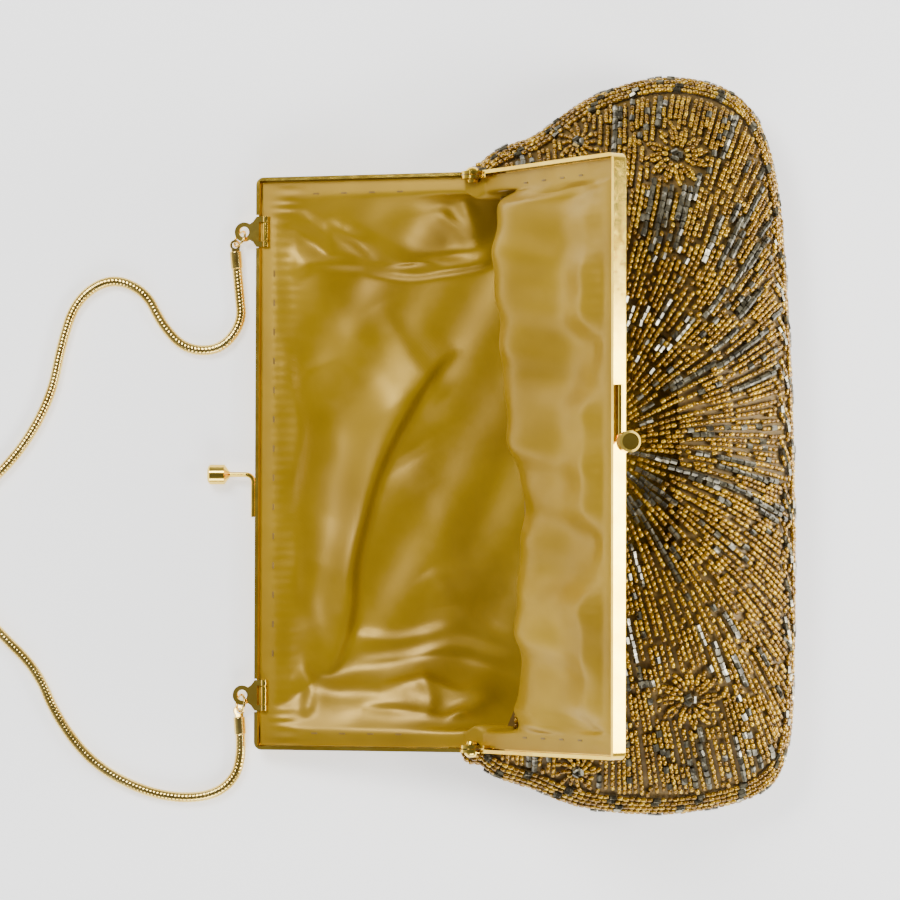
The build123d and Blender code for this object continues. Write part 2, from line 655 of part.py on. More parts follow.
with BuildPart() as seam_piping:
    with BuildSketch(TABLE.offset(SEAM_Z - SEAM_HALF)):
        add(plan_outline(1 + SEAM_PROUD / PLAN_HALF, 0))
        add(plan_outline(1, 0), mode=Mode.SUBTRACT)
        add(mouth_area(HALF_WIDTH + 20), mode=Mode.SUBTRACT)
    extrude(amount=2 * SEAM_HALF)
    fillet(seam_piping.edges().filter_by(GeomType.BSPLINE).sort_by(SortBy.LENGTH)[-2:], SEAM_HALF / 2)
seam_piping.part.label = "seam_piping"
export_step(seam_piping.part, "parts/seam_piping.step")

# The back half's cloth is a tray: walls stand from the table up to the rail.
with BuildPart() as back_panel:
    with BuildSketch(TABLE):
        add(tray_area(TRAY_INSET, MOUTH_X))
    extrude(amount=HINGE.Z)
    with BuildSketch(back_plane.offset(RAIL_TOP + RAIL_THICK)):
        Rectangle(400, 400)
    extrude(amount=-100, mode=Mode.SUBTRACT)
    with BuildSketch(TABLE.offset(CLOTH)):
        add(tray_area(TRAY_INSET + CLOTH, MOUTH_X + 1))
    extrude(amount=HINGE.Z, mode=Mode.SUBTRACT)
back_panel.part.label = "back_panel"
export_step(back_panel.part, "parts/back_panel.step")

with BuildPart() as front_panel:
    with BuildSketch(front_plane.offset(RAIL_TOP + RAIL_THICK)):
        add(panel(TRAY_INSET, TRAY_START))
    extrude(amount=CLOTH)
front_panel.part.label = "front_panel"
export_step(front_panel.part, "parts/front_panel.step")

# ---------------------------------------------------------------- lining
with BuildPart() as pouch_lining:
    outer_skin = CLOTH + SKIN_GAP
    for z, scale in LEVELS:
        with BuildSketch(TABLE.offset(level_height(z, outer_skin))):
            add(plan_outline(scale, outer_skin))
    loft(ruled=True)
    for z, scale in LEVELS:
        with BuildSketch(TABLE.offset(level_height(z, outer_skin + LINING))):
            add(plan_outline(scale, outer_skin + LINING))
    loft(ruled=True, mode=Mode.SUBTRACT)
    with BuildSketch(TABLE):
        add(mouth_area(HALF_WIDTH - TRAY_INSET))
    extrude(amount=BODY_TOP, mode=Mode.SUBTRACT)
    with BuildSketch(front_plane.offset(FRONT_CLEAR)):
        Rectangle(300, 2 * FRAME_CLEAR)
    extrude(amount=-200, mode=Mode.SUBTRACT)
pouch_lining.part.label = "pouch_lining"
export_step(pouch_lining.part, "parts/pouch_lining.step")

with BuildPart() as back_lining:
    lining_inset = RAIL_INSET + RAIL_WIDTH + SKIN_GAP
    with BuildSketch(TABLE.offset(CLOTH + SKIN_GAP)):
        add(tray_area(lining_inset, MOUTH_X))
    extrude(amount=HINGE.Z)
    with BuildSketch(back_plane.offset(LINING_TOP)):
        Rectangle(400, 400)
    extrude(amount=-100, mode=Mode.SUBTRACT)
    with BuildSketch(TABLE.offset(CLOTH + SKIN_GAP + LINING)):
        add(tray_area(lining_inset + LINING, MOUTH_X + 1))
    extrude(amount=HINGE.Z, mode=Mode.SUBTRACT)
    with BuildSketch(back_plane.offset(LINING_TOP)):
        add(u_band(RAIL_INSET, RAIL_WIDTH + 2 * LINING, RAIL_START))
        add(tab_openings(NOTCH_WIDTH, -1, TAB_PIVOT + TAB_KNUCKLE + SKIN_GAP), mode=Mode.SUBTRACT)
    extrude(amount=LINING)
back_lining.part.label = "back_lining"
export_step(back_lining.part, "parts/back_lining.step")

with BuildPart() as front_lining:
    with BuildSketch(front_plane.offset(LINING_TOP)):
        add(panel(RAIL_INSET, TRAY_START))
    extrude(amount=LINING)
front_lining.part.label = "front_lining"
export_step(front_lining.part, "parts/front_lining.step")


def stitch_rows():
    """The stitches on a half's lining, one between every two sewing holes."""
    length, width, _ = STITCH
    with BuildSketch(Plane.XY, mode=Mode.PRIVATE) as rows:
        with Locations(*[(x, y + SEW_PITCH / 2) for x, y in BAR_HOLES[:-1]]):
            SlotOverall(length, width, rotation=90)
        with Locations(*[(x - SEW_PITCH / 2, y) for x, y in LEG_HOLES[:-2]]):
            SlotOverall(length, width)
    return rows.sketch


with BuildPart() as back_stitches:
    with BuildSketch(back_plane.offset(LINING_TOP)):
        add(stitch_rows())
        add(tab_openings(NOTCH_WIDTH + 2, -1, SEW_INSET + 1), mode=Mode.SUBTRACT)
    extrude(amount=-STITCH[2])
back_stitches.part.label = "back_stitches"
export_step(back_stitches.part, "parts/back_stitches.step")

with BuildPart() as front_stitches:
    with BuildSketch(front_plane.offset(LINING_TOP)):
        add(stitch_rows())
    extrude(amount=-STITCH[2])
front_stitches.part.label = "front_stitches"
export_step(front_stitches.part, "parts/front_stitches.step")
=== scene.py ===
import json
from bisect import bisect_right
from math import atan2, ceil, cos, floor, hypot, pi, radians, sin, sqrt

import bpy
import numpy as np
from mathutils import Euler, Matrix, Vector


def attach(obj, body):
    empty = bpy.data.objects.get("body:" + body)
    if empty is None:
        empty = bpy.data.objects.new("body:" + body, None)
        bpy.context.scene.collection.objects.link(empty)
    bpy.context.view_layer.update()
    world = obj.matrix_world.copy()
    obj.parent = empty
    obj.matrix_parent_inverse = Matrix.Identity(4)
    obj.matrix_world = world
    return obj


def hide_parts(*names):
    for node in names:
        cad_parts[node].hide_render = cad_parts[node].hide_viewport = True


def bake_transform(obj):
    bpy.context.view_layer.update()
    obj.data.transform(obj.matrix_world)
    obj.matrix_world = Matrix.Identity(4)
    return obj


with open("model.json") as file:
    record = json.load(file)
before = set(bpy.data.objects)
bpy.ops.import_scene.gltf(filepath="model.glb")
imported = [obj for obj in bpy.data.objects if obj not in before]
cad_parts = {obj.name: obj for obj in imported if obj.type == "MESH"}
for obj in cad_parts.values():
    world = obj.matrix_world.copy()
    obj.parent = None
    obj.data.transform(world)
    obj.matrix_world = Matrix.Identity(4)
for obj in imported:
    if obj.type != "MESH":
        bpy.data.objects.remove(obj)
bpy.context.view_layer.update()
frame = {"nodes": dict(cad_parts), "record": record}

NODES = frame["nodes"]
MM = 0.001

joints = {j["name"]: j for j in frame["record"]["behaviour"]["joints"]}
HINGE = np.array(joints["frame_opening"]["pos_m"]) / MM  # mm
ROOT, FRONT, HANDLE = "back_half", "front_half", "chain_handle"


def put(points):
    """Millimetres from the middle of the hinge axis, to metres in the row frame."""
    return (np.asarray(points, dtype=float).reshape(-1, 3) + HINGE) * MM


# ---------------------------------------------------------------- camera
CAMERA_HEIGHT = 1260.0
CAMERA_TILT = (radians(-2.061), radians(-0.335), radians(-0.135))
CAMERA_SIDE = (-6.77, 3.52)
turn = Euler(CAMERA_TILT, "XYZ").to_matrix().transposed()
camera_data = bpy.data.cameras.new("camera")
camera = bpy.data.objects.new("camera", camera_data)
bpy.context.scene.collection.objects.link(camera)
camera_data.sensor_width = 36.0
camera_data.lens = 162.8
camera_data.clip_start = 0.05
camera_data.clip_end = 20
spot = turn @ Vector((*CAMERA_SIDE, CAMERA_HEIGHT))
camera.matrix_world = Matrix.Translation(Vector(put(spot[:])[0])) @ turn.to_4x4()
bpy.context.scene.camera = camera


# ---------------------------------------------------------------- material helpers
def new_material(name):
    material = bpy.data.materials.new(name)
    material.use_nodes = True
    nodes, links = material.node_tree.nodes, material.node_tree.links
    shader = nodes["Principled BSDF"]
    coords = nodes.new("ShaderNodeTexCoord")
    return material, nodes, links, shader, coords


def noise(nodes, links, coords, scale, detail=3.0, rough=0.5, stretch=None):
    texture = nodes.new("ShaderNodeTexNoise")
    texture.inputs["Scale"].default_value = scale
    texture.inputs["Detail"].default_value = detail
    texture.inputs["Roughness"].default_value = rough
    if stretch:
        mapping = nodes.new("ShaderNodeMapping")
        mapping.inputs["Scale"].default_value = stretch
        links.new(coords.outputs["Object"], mapping.inputs["Vector"])
        links.new(mapping.outputs["Vector"], texture.inputs["Vector"])
    else:
        links.new(coords.outputs["Object"], texture.inputs["Vector"])
    return texture


def ramp(nodes, links, source, stops):
    node = nodes.new("ShaderNodeValToRGB")
    elements = node.color_ramp.elements
    while len(elements) < len(stops):
        elements.new(0.5)
    for element, (place, colour) in zip(elements, stops):
        element.position = place
        element.color = (*colour, 1.0)
    links.new(source, node.inputs["Fac"])
    return node


def bump(nodes, links, shader, source, strength, distance, before=None):
    node = nodes.new("ShaderNodeBump")
    node.inputs["Strength"].default_value = strength
    node.inputs["Distance"].default_value = distance
    links.new(source, node.inputs["Height"])
    if before:
        links.new(before.outputs["Normal"], node.inputs["Normal"])
    links.new(node.outputs["Normal"], shader.inputs["Normal"])
    return node


def spread(nodes, links, source, low, high, into):
    """Spreads a 0 to 1 value over low to high, into a shader socket."""
    node = nodes.new("ShaderNodeMapRange")
    node.inputs["From Min"].default_value = 0.3
    node.inputs["From Max"].default_value = 0.7
    node.inputs["To Min"].default_value = low
    node.inputs["To Max"].default_value = high
    links.new(source, node.inputs["Value"])
    links.new(node.outputs["Result"], into)


def gilt(name, pale, deep, rough_low, rough_high):
    """Polished gilt metal: clouded tint, fine scratches, duller in patches."""
    material, nodes, links, shader, coords = new_material(name)
    cloud = noise(nodes, links, coords, 90.0, 4.0, 0.6)
    tint = ramp(nodes, links, cloud.outputs["Fac"], [(0.35, deep), (0.65, pale)])
    links.new(tint.outputs["Color"], shader.inputs["Base Color"])
    shader.inputs["Metallic"].default_value = 1.0
    wear = noise(nodes, links, coords, 420.0, 5.0, 0.65)
    spread(nodes, links, wear.outputs["Fac"], rough_low, rough_high, shader.inputs["Roughness"])
    scratch = noise(nodes, links, coords, 700.0, 2.0, 0.5, stretch=(0.12, 1.0, 1.0))
    bump(nodes, links, shader, scratch.outputs["Fac"], 0.10, 0.00004)
    return material


def satin():
    """Gold satin lining: diagonal weave, soft colour drift, slubs, broad silky highlight."""
    material, nodes, links, shader, coords = new_material("satin")
    drift = noise(nodes, links, coords, 28.0, 3.0, 0.5)
    tint = ramp(
        nodes, links, drift.outputs["Fac"], [(0.30, (0.33, 0.190, 0.0002)), (0.70, (0.43, 0.26, 0.0004))]
    )
    links.new(tint.outputs["Color"], shader.inputs["Base Color"])
    shader.inputs["Metallic"].default_value = 0.32
    shader.inputs["Sheen Weight"].default_value = 0.03
    shader.inputs["Sheen Roughness"].default_value = 0.4
    shader.inputs["Sheen Tint"].default_value = (1.0, 0.80, 0.2, 1.0)
    patches = noise(nodes, links, coords, 160.0, 3.0, 0.5)
    spread(nodes, links, patches.outputs["Fac"], 0.33, 0.42, shader.inputs["Roughness"])
    weave = nodes.new("ShaderNodeTexWave")
    weave.wave_type = "BANDS"
    weave.bands_direction = "DIAGONAL"
    weave.inputs["Scale"].default_value = 620.0
    weave.inputs["Distortion"].default_value = 0.6
    weave.inputs["Detail"].default_value = 1.0
    links.new(coords.outputs["Object"], weave.inputs["Vector"])
    first = bump(nodes, links, shader, weave.outputs["Fac"], 0.10, 0.00005)
    slub = noise(nodes, links, coords, 900.0, 2.0, 0.5, stretch=(1.0, 0.06, 1.0))
    bump(nodes, links, shader, slub.outputs["Fac"], 0.10, 0.00005, before=first)
    return material


def glass_bead(name, colours, metallic, rough, scale):
    """Foil-lined glass: each bead takes its own tint, with a clear glossy coat."""
    material, nodes, links, shader, coords = new_material(name)
    cells = nodes.new("ShaderNodeTexVoronoi")
    cells.inputs["Scale"].default_value = scale
    links.new(coords.outputs["Object"], cells.inputs["Vector"])
    split = nodes.new("ShaderNodeSeparateColor")
    links.new(cells.outputs["Color"], split.inputs["Color"])
    tint = ramp(nodes, links, split.outputs["Red"], colours)
    links.new(tint.outputs["Color"], shader.inputs["Base Color"])
    shader.inputs["Metallic"].default_value = metallic
    spread(nodes, links, split.outputs["Green"], rough * 0.7, rough * 1.6, shader.inputs["Roughness"])
    shader.inputs["Coat Weight"].default_value = 0.35
    shader.inputs["Coat Roughness"].default_value = 0.06
    ripple = noise(nodes, links, coords, 2400.0, 2.0, 0.5)
    bump(nodes, links, shader, ripple.outputs["Fac"], 0.12, 0.00006)
    return material


def cloth(name, light, dark, scale, strength):
    """Woven ground cloth with thread-scale bump and colour drift."""
    material, nodes, links, shader, coords = new_material(name)
    drift = noise(nodes, links, coords, 60.0, 4.0, 0.6)
    tint = ramp(nodes, links, drift.outputs["Fac"], [(0.3, dark), (0.7, light)])
    links.new(tint.outputs["Color"], shader.inputs["Base Color"])
    shader.inputs["Sheen Weight"].default_value = 0.3
    shader.inputs["Metallic"].default_value = 0.15
    patches = noise(nodes, links, coords, 300.0, 3.0, 0.5)
    spread(nodes, links, patches.outputs["Fac"], 0.45, 0.65, shader.inputs["Roughness"])
    weave = nodes.new("ShaderNodeTexWave")
    weave.bands_direction = "DIAGONAL"
    weave.inputs["Scale"].default_value = scale
    weave.inputs["Distortion"].default_value = 1.0
    links.new(coords.outputs["Object"], weave.inputs["Vector"])
    bump(nodes, links, shader, weave.outputs["Fac"], strength, 0.0001)
    return material


FRAME_GILT = gilt("frame_gilt", (1.0, 0.71, 0.11), (0.85, 0.54, 0.05), 0.10, 0.20)
CLASP_GILT = gilt("clasp_gilt", (1.0, 0.73, 0.14), (0.86, 0.56, 0.07), 0.08, 0.16)
CHAIN_GILT = gilt("chain_gilt", (0.92, 0.68, 0.20), (0.66, 0.44, 0.09), 0.12, 0.24)
RAIL_STEEL = gilt("rail_steel", (0.72, 0.62, 0.40), (0.55, 0.46, 0.28), 0.30, 0.45)
SATIN = satin()
THREAD = cloth("thread", (0.30, 0.17, 0.015), (0.18, 0.10, 0.008), 2600.0, 0.4)
GROUND = cloth("ground_cloth", (0.20, 0.112, 0.008), (0.10, 0.056, 0.004), 900.0, 0.3)
GOLD_BEAD = glass_bead(
    "gold_bead",
    [
        (0.0, (0.16, 0.075, 0.001)), (0.35, (0.27, 0.135, 0.002)),
        (0.7, (0.42, 0.225, 0.004)), (1.0, (0.70, 0.44, 0.03)),
    ],
    0.55, 0.16, 620.0,
)
GREY_BEAD = glass_bead(
    "grey_bead",
    [
        (0.0, (0.05, 0.042, 0.025)), (0.5, (0.11, 0.095, 0.055)),
        (0.85, (0.19, 0.17, 0.11)), (1.0, (0.42, 0.38, 0.27)),
    ],
    0.6, 0.12, 620.0,
)

FINISH = {
    "back_frame": FRAME_GILT, "front_frame": FRAME_GILT, "hinge_rivets": FRAME_GILT,
    "tab_keeper_upper": FRAME_GILT, "tab_keeper_lower": FRAME_GILT, "tab_pins": FRAME_GILT,
    "back_clasp_arm": CLASP_GILT, "front_clasp_arm": CLASP_GILT, "back_clasp_knob": CLASP_GILT,
    "front_clasp_knob": CLASP_GILT, "chain_tab_upper": CLASP_GILT, "chain_tab_lower": CLASP_GILT,
    "jump_rings": CHAIN_GILT, "chain_cap_upper": CHAIN_GILT, "chain_cap_lower": CHAIN_GILT,
    "back_rail": RAIL_STEEL, "front_rail": RAIL_STEEL, "back_stitches": THREAD, "front_stitches": THREAD,
}  # fmt: skip
for node, material in FINISH.items():
    target = NODES[node]
    for place in target.material_slots:
        place.material = material
    if not target.material_slots:
        target.data.materials.append(material)
    if material is not THREAD:
        edge = target.modifiers.new("edge", "BEVEL")
        edge.width = 0.00012
        edge.segments = 2
        edge.limit_method = "ANGLE"
        edge.angle_limit = radians(35)


# ---------------------------------------------------------------- mesh helpers
def make_mesh(name, vertices, faces, material, smooth=True):
    """Adds a mesh object from vertices in metres and a list or array of faces."""
    mesh = bpy.data.meshes.new(name)
    mesh.from_pydata([tuple(v) for v in np.asarray(vertices)], [], [tuple(f) for f in faces])
    mesh.update()
    if smooth:
        mesh.polygons.foreach_set("use_smooth", [True] * len(mesh.polygons))
    mesh.materials.append(material)
    piece = bpy.data.objects.new(name, mesh)
    bpy.context.scene.collection.objects.link(piece)
    return piece


def grid_faces(rows, columns, closed=False):
    faces = []
    for i in range(rows - 1):
        for j in range(columns if closed else columns - 1):
            k = (j + 1) % columns
            faces.append((i * columns + j, i * columns + k, (i + 1) * columns + k, (i + 1) * columns + j))
    return faces


def drop(piece):
    data = piece.data
    bpy.data.objects.remove(piece)
    bpy.data.meshes.remove(data) if isinstance(data, bpy.types.Mesh) else bpy.data.curves.remove(data)


# ---------------------------------------------------------------- snake chain
CHAIN_Z = 1.7 - HINGE[2]
CHAIN_TOP_END = (-74.34, 61.48, 1.96 - HINGE[2])
CHAIN_LOW_END = (-72.70, -85.32, 1.97 - HINGE[2])
CHAIN_ROUTE = [
    (-73.6, 53.6), (-72.6, 44.4), (-79.4, 35.7), (-90.4, 35.7), (-98.0, 43.6), (-103.2, 54.4),
    (-114.5, 58.8), (-125.3, 51.6), (-129.8, 37.5), (-133.0, 20.5), (-142.5, 3.5),
    (-155.5, -9.5), (-163.5, -24.0), (-160.0, -40.5), (-149.5, -53.0), (-137.0, -65.0),
    (-130.5, -80.5), (-119.0, -95.0), (-103.0, -103.5), (-88.5, -105.8), (-77.5, -103.0),
    (-72.0, -94.4),
]  # fmt: skip
CHAIN_RADIUS = 1.65
SCALE_PITCH = 1.15


def route_line(points):
    """Points along the NURBS curve that has these control points, in metres."""
    curve = bpy.data.curves.new("chain_route", "CURVE")
    curve.dimensions = "3D"
    curve.resolution_u = 16
    spline = curve.splines.new("NURBS")
    spline.points.add(len(points) - 1)
    for point, place in zip(spline.points, points):
        point.co = (*place, 1.0)
    spline.order_u = 3
    spline.use_endpoint_u = True
    holder = bpy.data.objects.new("chain_route", curve)
    bpy.context.scene.collection.objects.link(holder)
    seen = holder.evaluated_get(bpy.context.evaluated_depsgraph_get())
    mesh = bpy.data.meshes.new_from_object(seen)
    line = np.array([v.co[:] for v in mesh.vertices])
    bpy.data.meshes.remove(mesh)
    drop(holder)
    return line


def along(line, step):
    """The line again, at an even step."""
    lengths = np.concatenate([[0], np.cumsum(np.linalg.norm(np.diff(line, axis=0), axis=1))])
    count = int(lengths[-1] / step) + 1
    places = np.linspace(0, lengths[-1], count)
    return np.stack([np.interp(places, lengths, line[:, i]) for i in range(3)], axis=1), places


route = put([CHAIN_TOP_END] + [(x, y, CHAIN_Z) for x, y in CHAIN_ROUTE] + [CHAIN_LOW_END])
chain_line = route_line(route)
chain_points, chain_places = along(chain_line, 0.22 * MM)
ways = np.gradient(chain_points, axis=0)
ways /= np.linalg.norm(ways, axis=1)[:, None]
across = np.cross(ways, (0, 0, 1.0))
across /= np.linalg.norm(across, axis=1)[:, None]
above = np.cross(across, ways)
ROUND = 22
angles = np.arange(ROUND) * 2 * pi / ROUND
zigzag = np.abs(((angles * 4 / (2 * pi)) % 1) - 0.5) * 0.9
phase = chain_places[:, None] / (SCALE_PITCH * MM) + zigzag[None, :]
ridge = np.abs(np.sin(pi * phase)) ** 0.55
radius = CHAIN_RADIUS * MM * (0.885 + 0.115 * ridge)
rings = (
    chain_points[:, None, :]
    + across[:, None, :] * (np.cos(angles)[None, :, None] * radius[:, :, None])
    + above[:, None, :] * (np.sin(angles)[None, :, None] * radius[:, :, None])
)
chain = make_mesh(
    "snake_chain_links", rings.reshape(-1, 3), grid_faces(len(chain_points), ROUND, True), CHAIN_GILT
)
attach(chain, HANDLE)
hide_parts("snake_chain")

# ---------------------------------------------------------------- pouch surface
# The plan of the pouch at its seam, going round from the mouth, and how the cloth curves in
# above and below the seam: (share of the way out from the middle, height above the table).
PLAN = [
    (-4, 74), (4, 94), (20, 102), (38, 114), (62, 120), (84, 113), (94, 90), (98, 45),
    (99.8, -10), (99.8, -60), (98, -88), (90, -101.5), (66, -108), (38, -107), (20, -101),
    (4, -94), (-4, -74),
]  # fmt: skip
CENTRE = np.array((48.0, 6.0))
UPPER = [(1.0, 15), (0.985, 17.6), (0.955, 20.6), (0.92, 23.3), (0.87, 26.3), (0.81, 29.2), (0.75, 31.7),
         (0.68, 34.4), (0.60, 36.8), (0.52, 38.7), (0.44, 40.0), (0.30, 41.2), (0.0, 41.8)]  # fmt: skip
LOWER = [(1.0, 15), (0.996, 11.5), (0.98, 8), (0.955, 4.7), (0.92, 2.0), (0.87, 0.4), (0.6, 0.3), (0.0, 0.3)]


def closed_curve(points, per_span=24):
    """A smooth closed curve through points."""
    p = np.array(points, dtype=float)
    out = []
    for i in range(len(p)):
        a, b, c, d = p[i - 1], p[i], p[(i + 1) % len(p)], p[(i + 2) % len(p)]
        for t in np.arange(per_span) / per_span:
            square = (2 * a - 5 * b + 4 * c - d) * t**2
            cube = (3 * b - a - 3 * c + d) * t**3
            out.append(0.5 * (2 * b + (c - a) * t + square + cube))
    return np.array(out)


OUTLINE = closed_curve(PLAN)
outline_out = OUTLINE - CENTRE
outline_angle = np.unwrap(np.arctan2(outline_out[:, 1], outline_out[:, 0]))
order = np.argsort(outline_angle)
ANGLES = outline_angle[order]
REACH = np.linalg.norm(outline_out, axis=1)[order]
ANGLES = np.concatenate([ANGLES - 2 * pi, ANGLES, ANGLES + 2 * pi])
REACH = np.tile(REACH, 3)
UP_SHARE = np.array([s for s, z in UPPER][::-1])
UP_Z = np.array([z for s, z in UPPER][::-1]) - HINGE[2]
LOW_SHARE = np.array([s for s, z in LOWER][::-1])
LOW_Z = np.array([z for s, z in LOWER][::-1]) - HINGE[2]


def swell(x, y):
    """Soft unevenness of the filled cloth, in millimetres."""
    return 0.7 * np.sin(x * 0.11 + 1.3) * np.sin(y * 0.083 + 0.4) + 0.45 * np.sin(x * 0.05 - y * 0.16 + 2.0)


def top_z(x, y):
    """Height of the pouch's upper skin over a point of its plan."""
    dx, dy = np.asarray(x) - CENTRE[0], np.asarray(y) - CENTRE[1]
    share = np.hypot(dx, dy) / np.interp(np.arctan2(dy, dx), ANGLES, REACH)
    z = np.interp(share, UP_SHARE, UP_Z)
    return z + swell(x, y) * np.clip((1 - share) * 4, 0, 1)


def share_at(x, y):
    dx, dy = x - CENTRE[0], y - CENTRE[1]
    return hypot(dx, dy) / float(np.interp(atan2(dy, dx), ANGLES, REACH))


def skin_frame(x, y):
    """Point and outward normal of the upper skin."""
    z = float(top_z(x, y))
    zx, zy = float(top_z(x + 0.5, y)), float(top_z(x, y + 0.5))
    normal = np.array((-(zx - z) / 0.5, -(zy - z) / 0.5, 1.0))
    return np.array((x, y, z)), normal / np.linalg.norm(normal)


def ring_points(share, z, count):
    """Points round the outline at one share and height."""
    angles = np.arange(count) * 2 * pi / count
    reach = np.interp(angles, ANGLES, REACH) * share
    return np.stack(
        [CENTRE[0] + np.cos(angles) * reach, CENTRE[1] + np.sin(angles) * reach, np.full(count, z)], axis=1
    )


# Front plane: depth is measured outwards from the meeting plane of the front half.
RISE, FALL = radians(54.0), radians(16.0)
FRONT_ALONG = np.array((cos(RISE), 0, sin(RISE)))
FRONT_DEPTH = np.array((sin(RISE), 0, -cos(RISE)))
BACK_ALONG = np.array((-cos(FALL), 0, -sin(FALL)))
BACK_DEPTH = np.array((sin(FALL), 0, -cos(FALL)))


def front_depth(p):
    return float(np.dot(p, FRONT_DEPTH))


# Where the satin folds over into the pouch, along Y.
LIP = [(-95, 8.0), (-84, 9.0), (-60, 16.5), (-47, 14.5), (-29, 15.0), (-2, 15.0), (26, 9.0), (54, 6.5),
       (64, 9.5), (85, 6.0), (95, 6.0)]  # fmt: skip
LIP_Y, LIP_X = np.array(LIP).T


def smooth_lip(y):
    return sum(float(np.interp(y + o, LIP_Y, LIP_X)) for o in (-6, -3, 0, 3, 6)) / 5


ROUND_COUNT = 300
UNDER_BEADS = 0.9  # how far the cloth lies under the beads' own surface
LOWER_INSET = 1 - 0.8 / 100
MOUTH_SIDE = 85.0
COVER_DEPTH = 7.6  # the cloth ends where the cover behind the front half takes over
layers = []
for share, _ in UPPER[::-1][1:]:
    layer = ring_points(share, 0.0, ROUND_COUNT)
    layer[:, 2] = top_z(layer[:, 0], layer[:, 1]) - UNDER_BEADS
    layers.append(layer)
for share, z in LOWER[1:]:
    layer = ring_points(share, max(z, 0.3) - HINGE[2], ROUND_COUNT)
    layer[:, :2] = CENTRE + (layer[:, :2] - CENTRE) * LOWER_INSET
    layers.append(layer)
skin = np.concatenate(layers)
faces = []
for face in grid_faces(len(layers), ROUND_COUNT, True):
    middle = skin[list(face)].mean(axis=0)
    inside_frame = abs(middle[1]) < 88.5 and middle[2] > -12 and front_depth(middle) < COVER_DEPTH
    inside_mouth = abs(middle[1]) < MOUTH_SIDE and middle[0] < smooth_lip(middle[1]) + 2.0
    if not inside_frame and not inside_mouth:
        faces.append(face)
pouch = make_mesh("pouch_cloth", put(skin), faces, GROUND)
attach(pouch, ROOT)
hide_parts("pouch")

# ---------------------------------------------------------------- beads
BEAD = {"gold": (0.70, 1.75), "grey": (0.86, 2.25)}  # radius and length
STRAND = 1.72  # between neighbouring strands
rng = np.random.default_rng(7)


class Beads:
    """Beads laid one at a time; near() tells whether a place is clear of those already there."""

    def __init__(self):
        self.rows = {"gold": [], "grey": []}
        self.cells = {}

    def key(self, p):
        return (floor(p[0] / 2), floor(p[1] / 2), floor(p[2] / 2))

    def near(self, p, gap, skip=()):
        a, b, c = self.key(p)
        for i in (a - 1, a, a + 1):
            for j in (b - 1, b, b + 1):
                for k in (c - 1, c, c + 1):
                    for strand, q in self.cells.get((i, j, k), ()):
                        if strand not in skip and (
                            (p[0] - q[0]) ** 2 + (p[1] - q[1]) ** 2 + (p[2] - q[2]) ** 2 < gap * gap
                        ):
                            return True
        return False

    def lay(self, kind, p, way, normal, strand):
        """Lays a bead with its hole along way, sitting on the cloth at p."""
        size = 1 + rng.normal(0, 0.05)
        lift = BEAD[kind][0] * 0.85 + rng.normal(0, 0.07)
        middle = p + normal * lift + rng.normal(0, 0.05, 3)
        way = way + rng.normal(0, 0.05, 3)
        self.rows[kind].append((middle, way, normal, size))
        self.cells.setdefault(self.key(p), []).append((strand, p))


def bead_template(kind):
    """A short glass tube with softened, flat ends, the hole not sunk in: vertices and faces."""
    radius, length = BEAD[kind]
    if kind == "gold":
        sides = 8
        rings = [(-0.50, 0.34), (-0.50, 0.66), (-0.36, 0.95), (0.0, 1.03)]
        rings += [(-place, wide) for place, wide in rings[2::-1]]
    else:
        sides = 6
        rings = [(-0.50, 0.40), (-0.50, 0.84), (-0.44, 1.0), (0.44, 1.0), (0.50, 0.84), (0.50, 0.40)]
    points = []
    for place, wide in rings:
        for k in range(sides):
            a = 2 * pi * (k + 0.5) / sides
            points.append((place * length, cos(a) * wide * radius, sin(a) * wide * radius))
    faces = grid_faces(len(rings), sides, True)
    faces.append(tuple(range(sides))[::-1])
    faces.append(tuple(range((len(rings) - 1) * sides, len(rings) * sides)))
    return np.array(points), faces


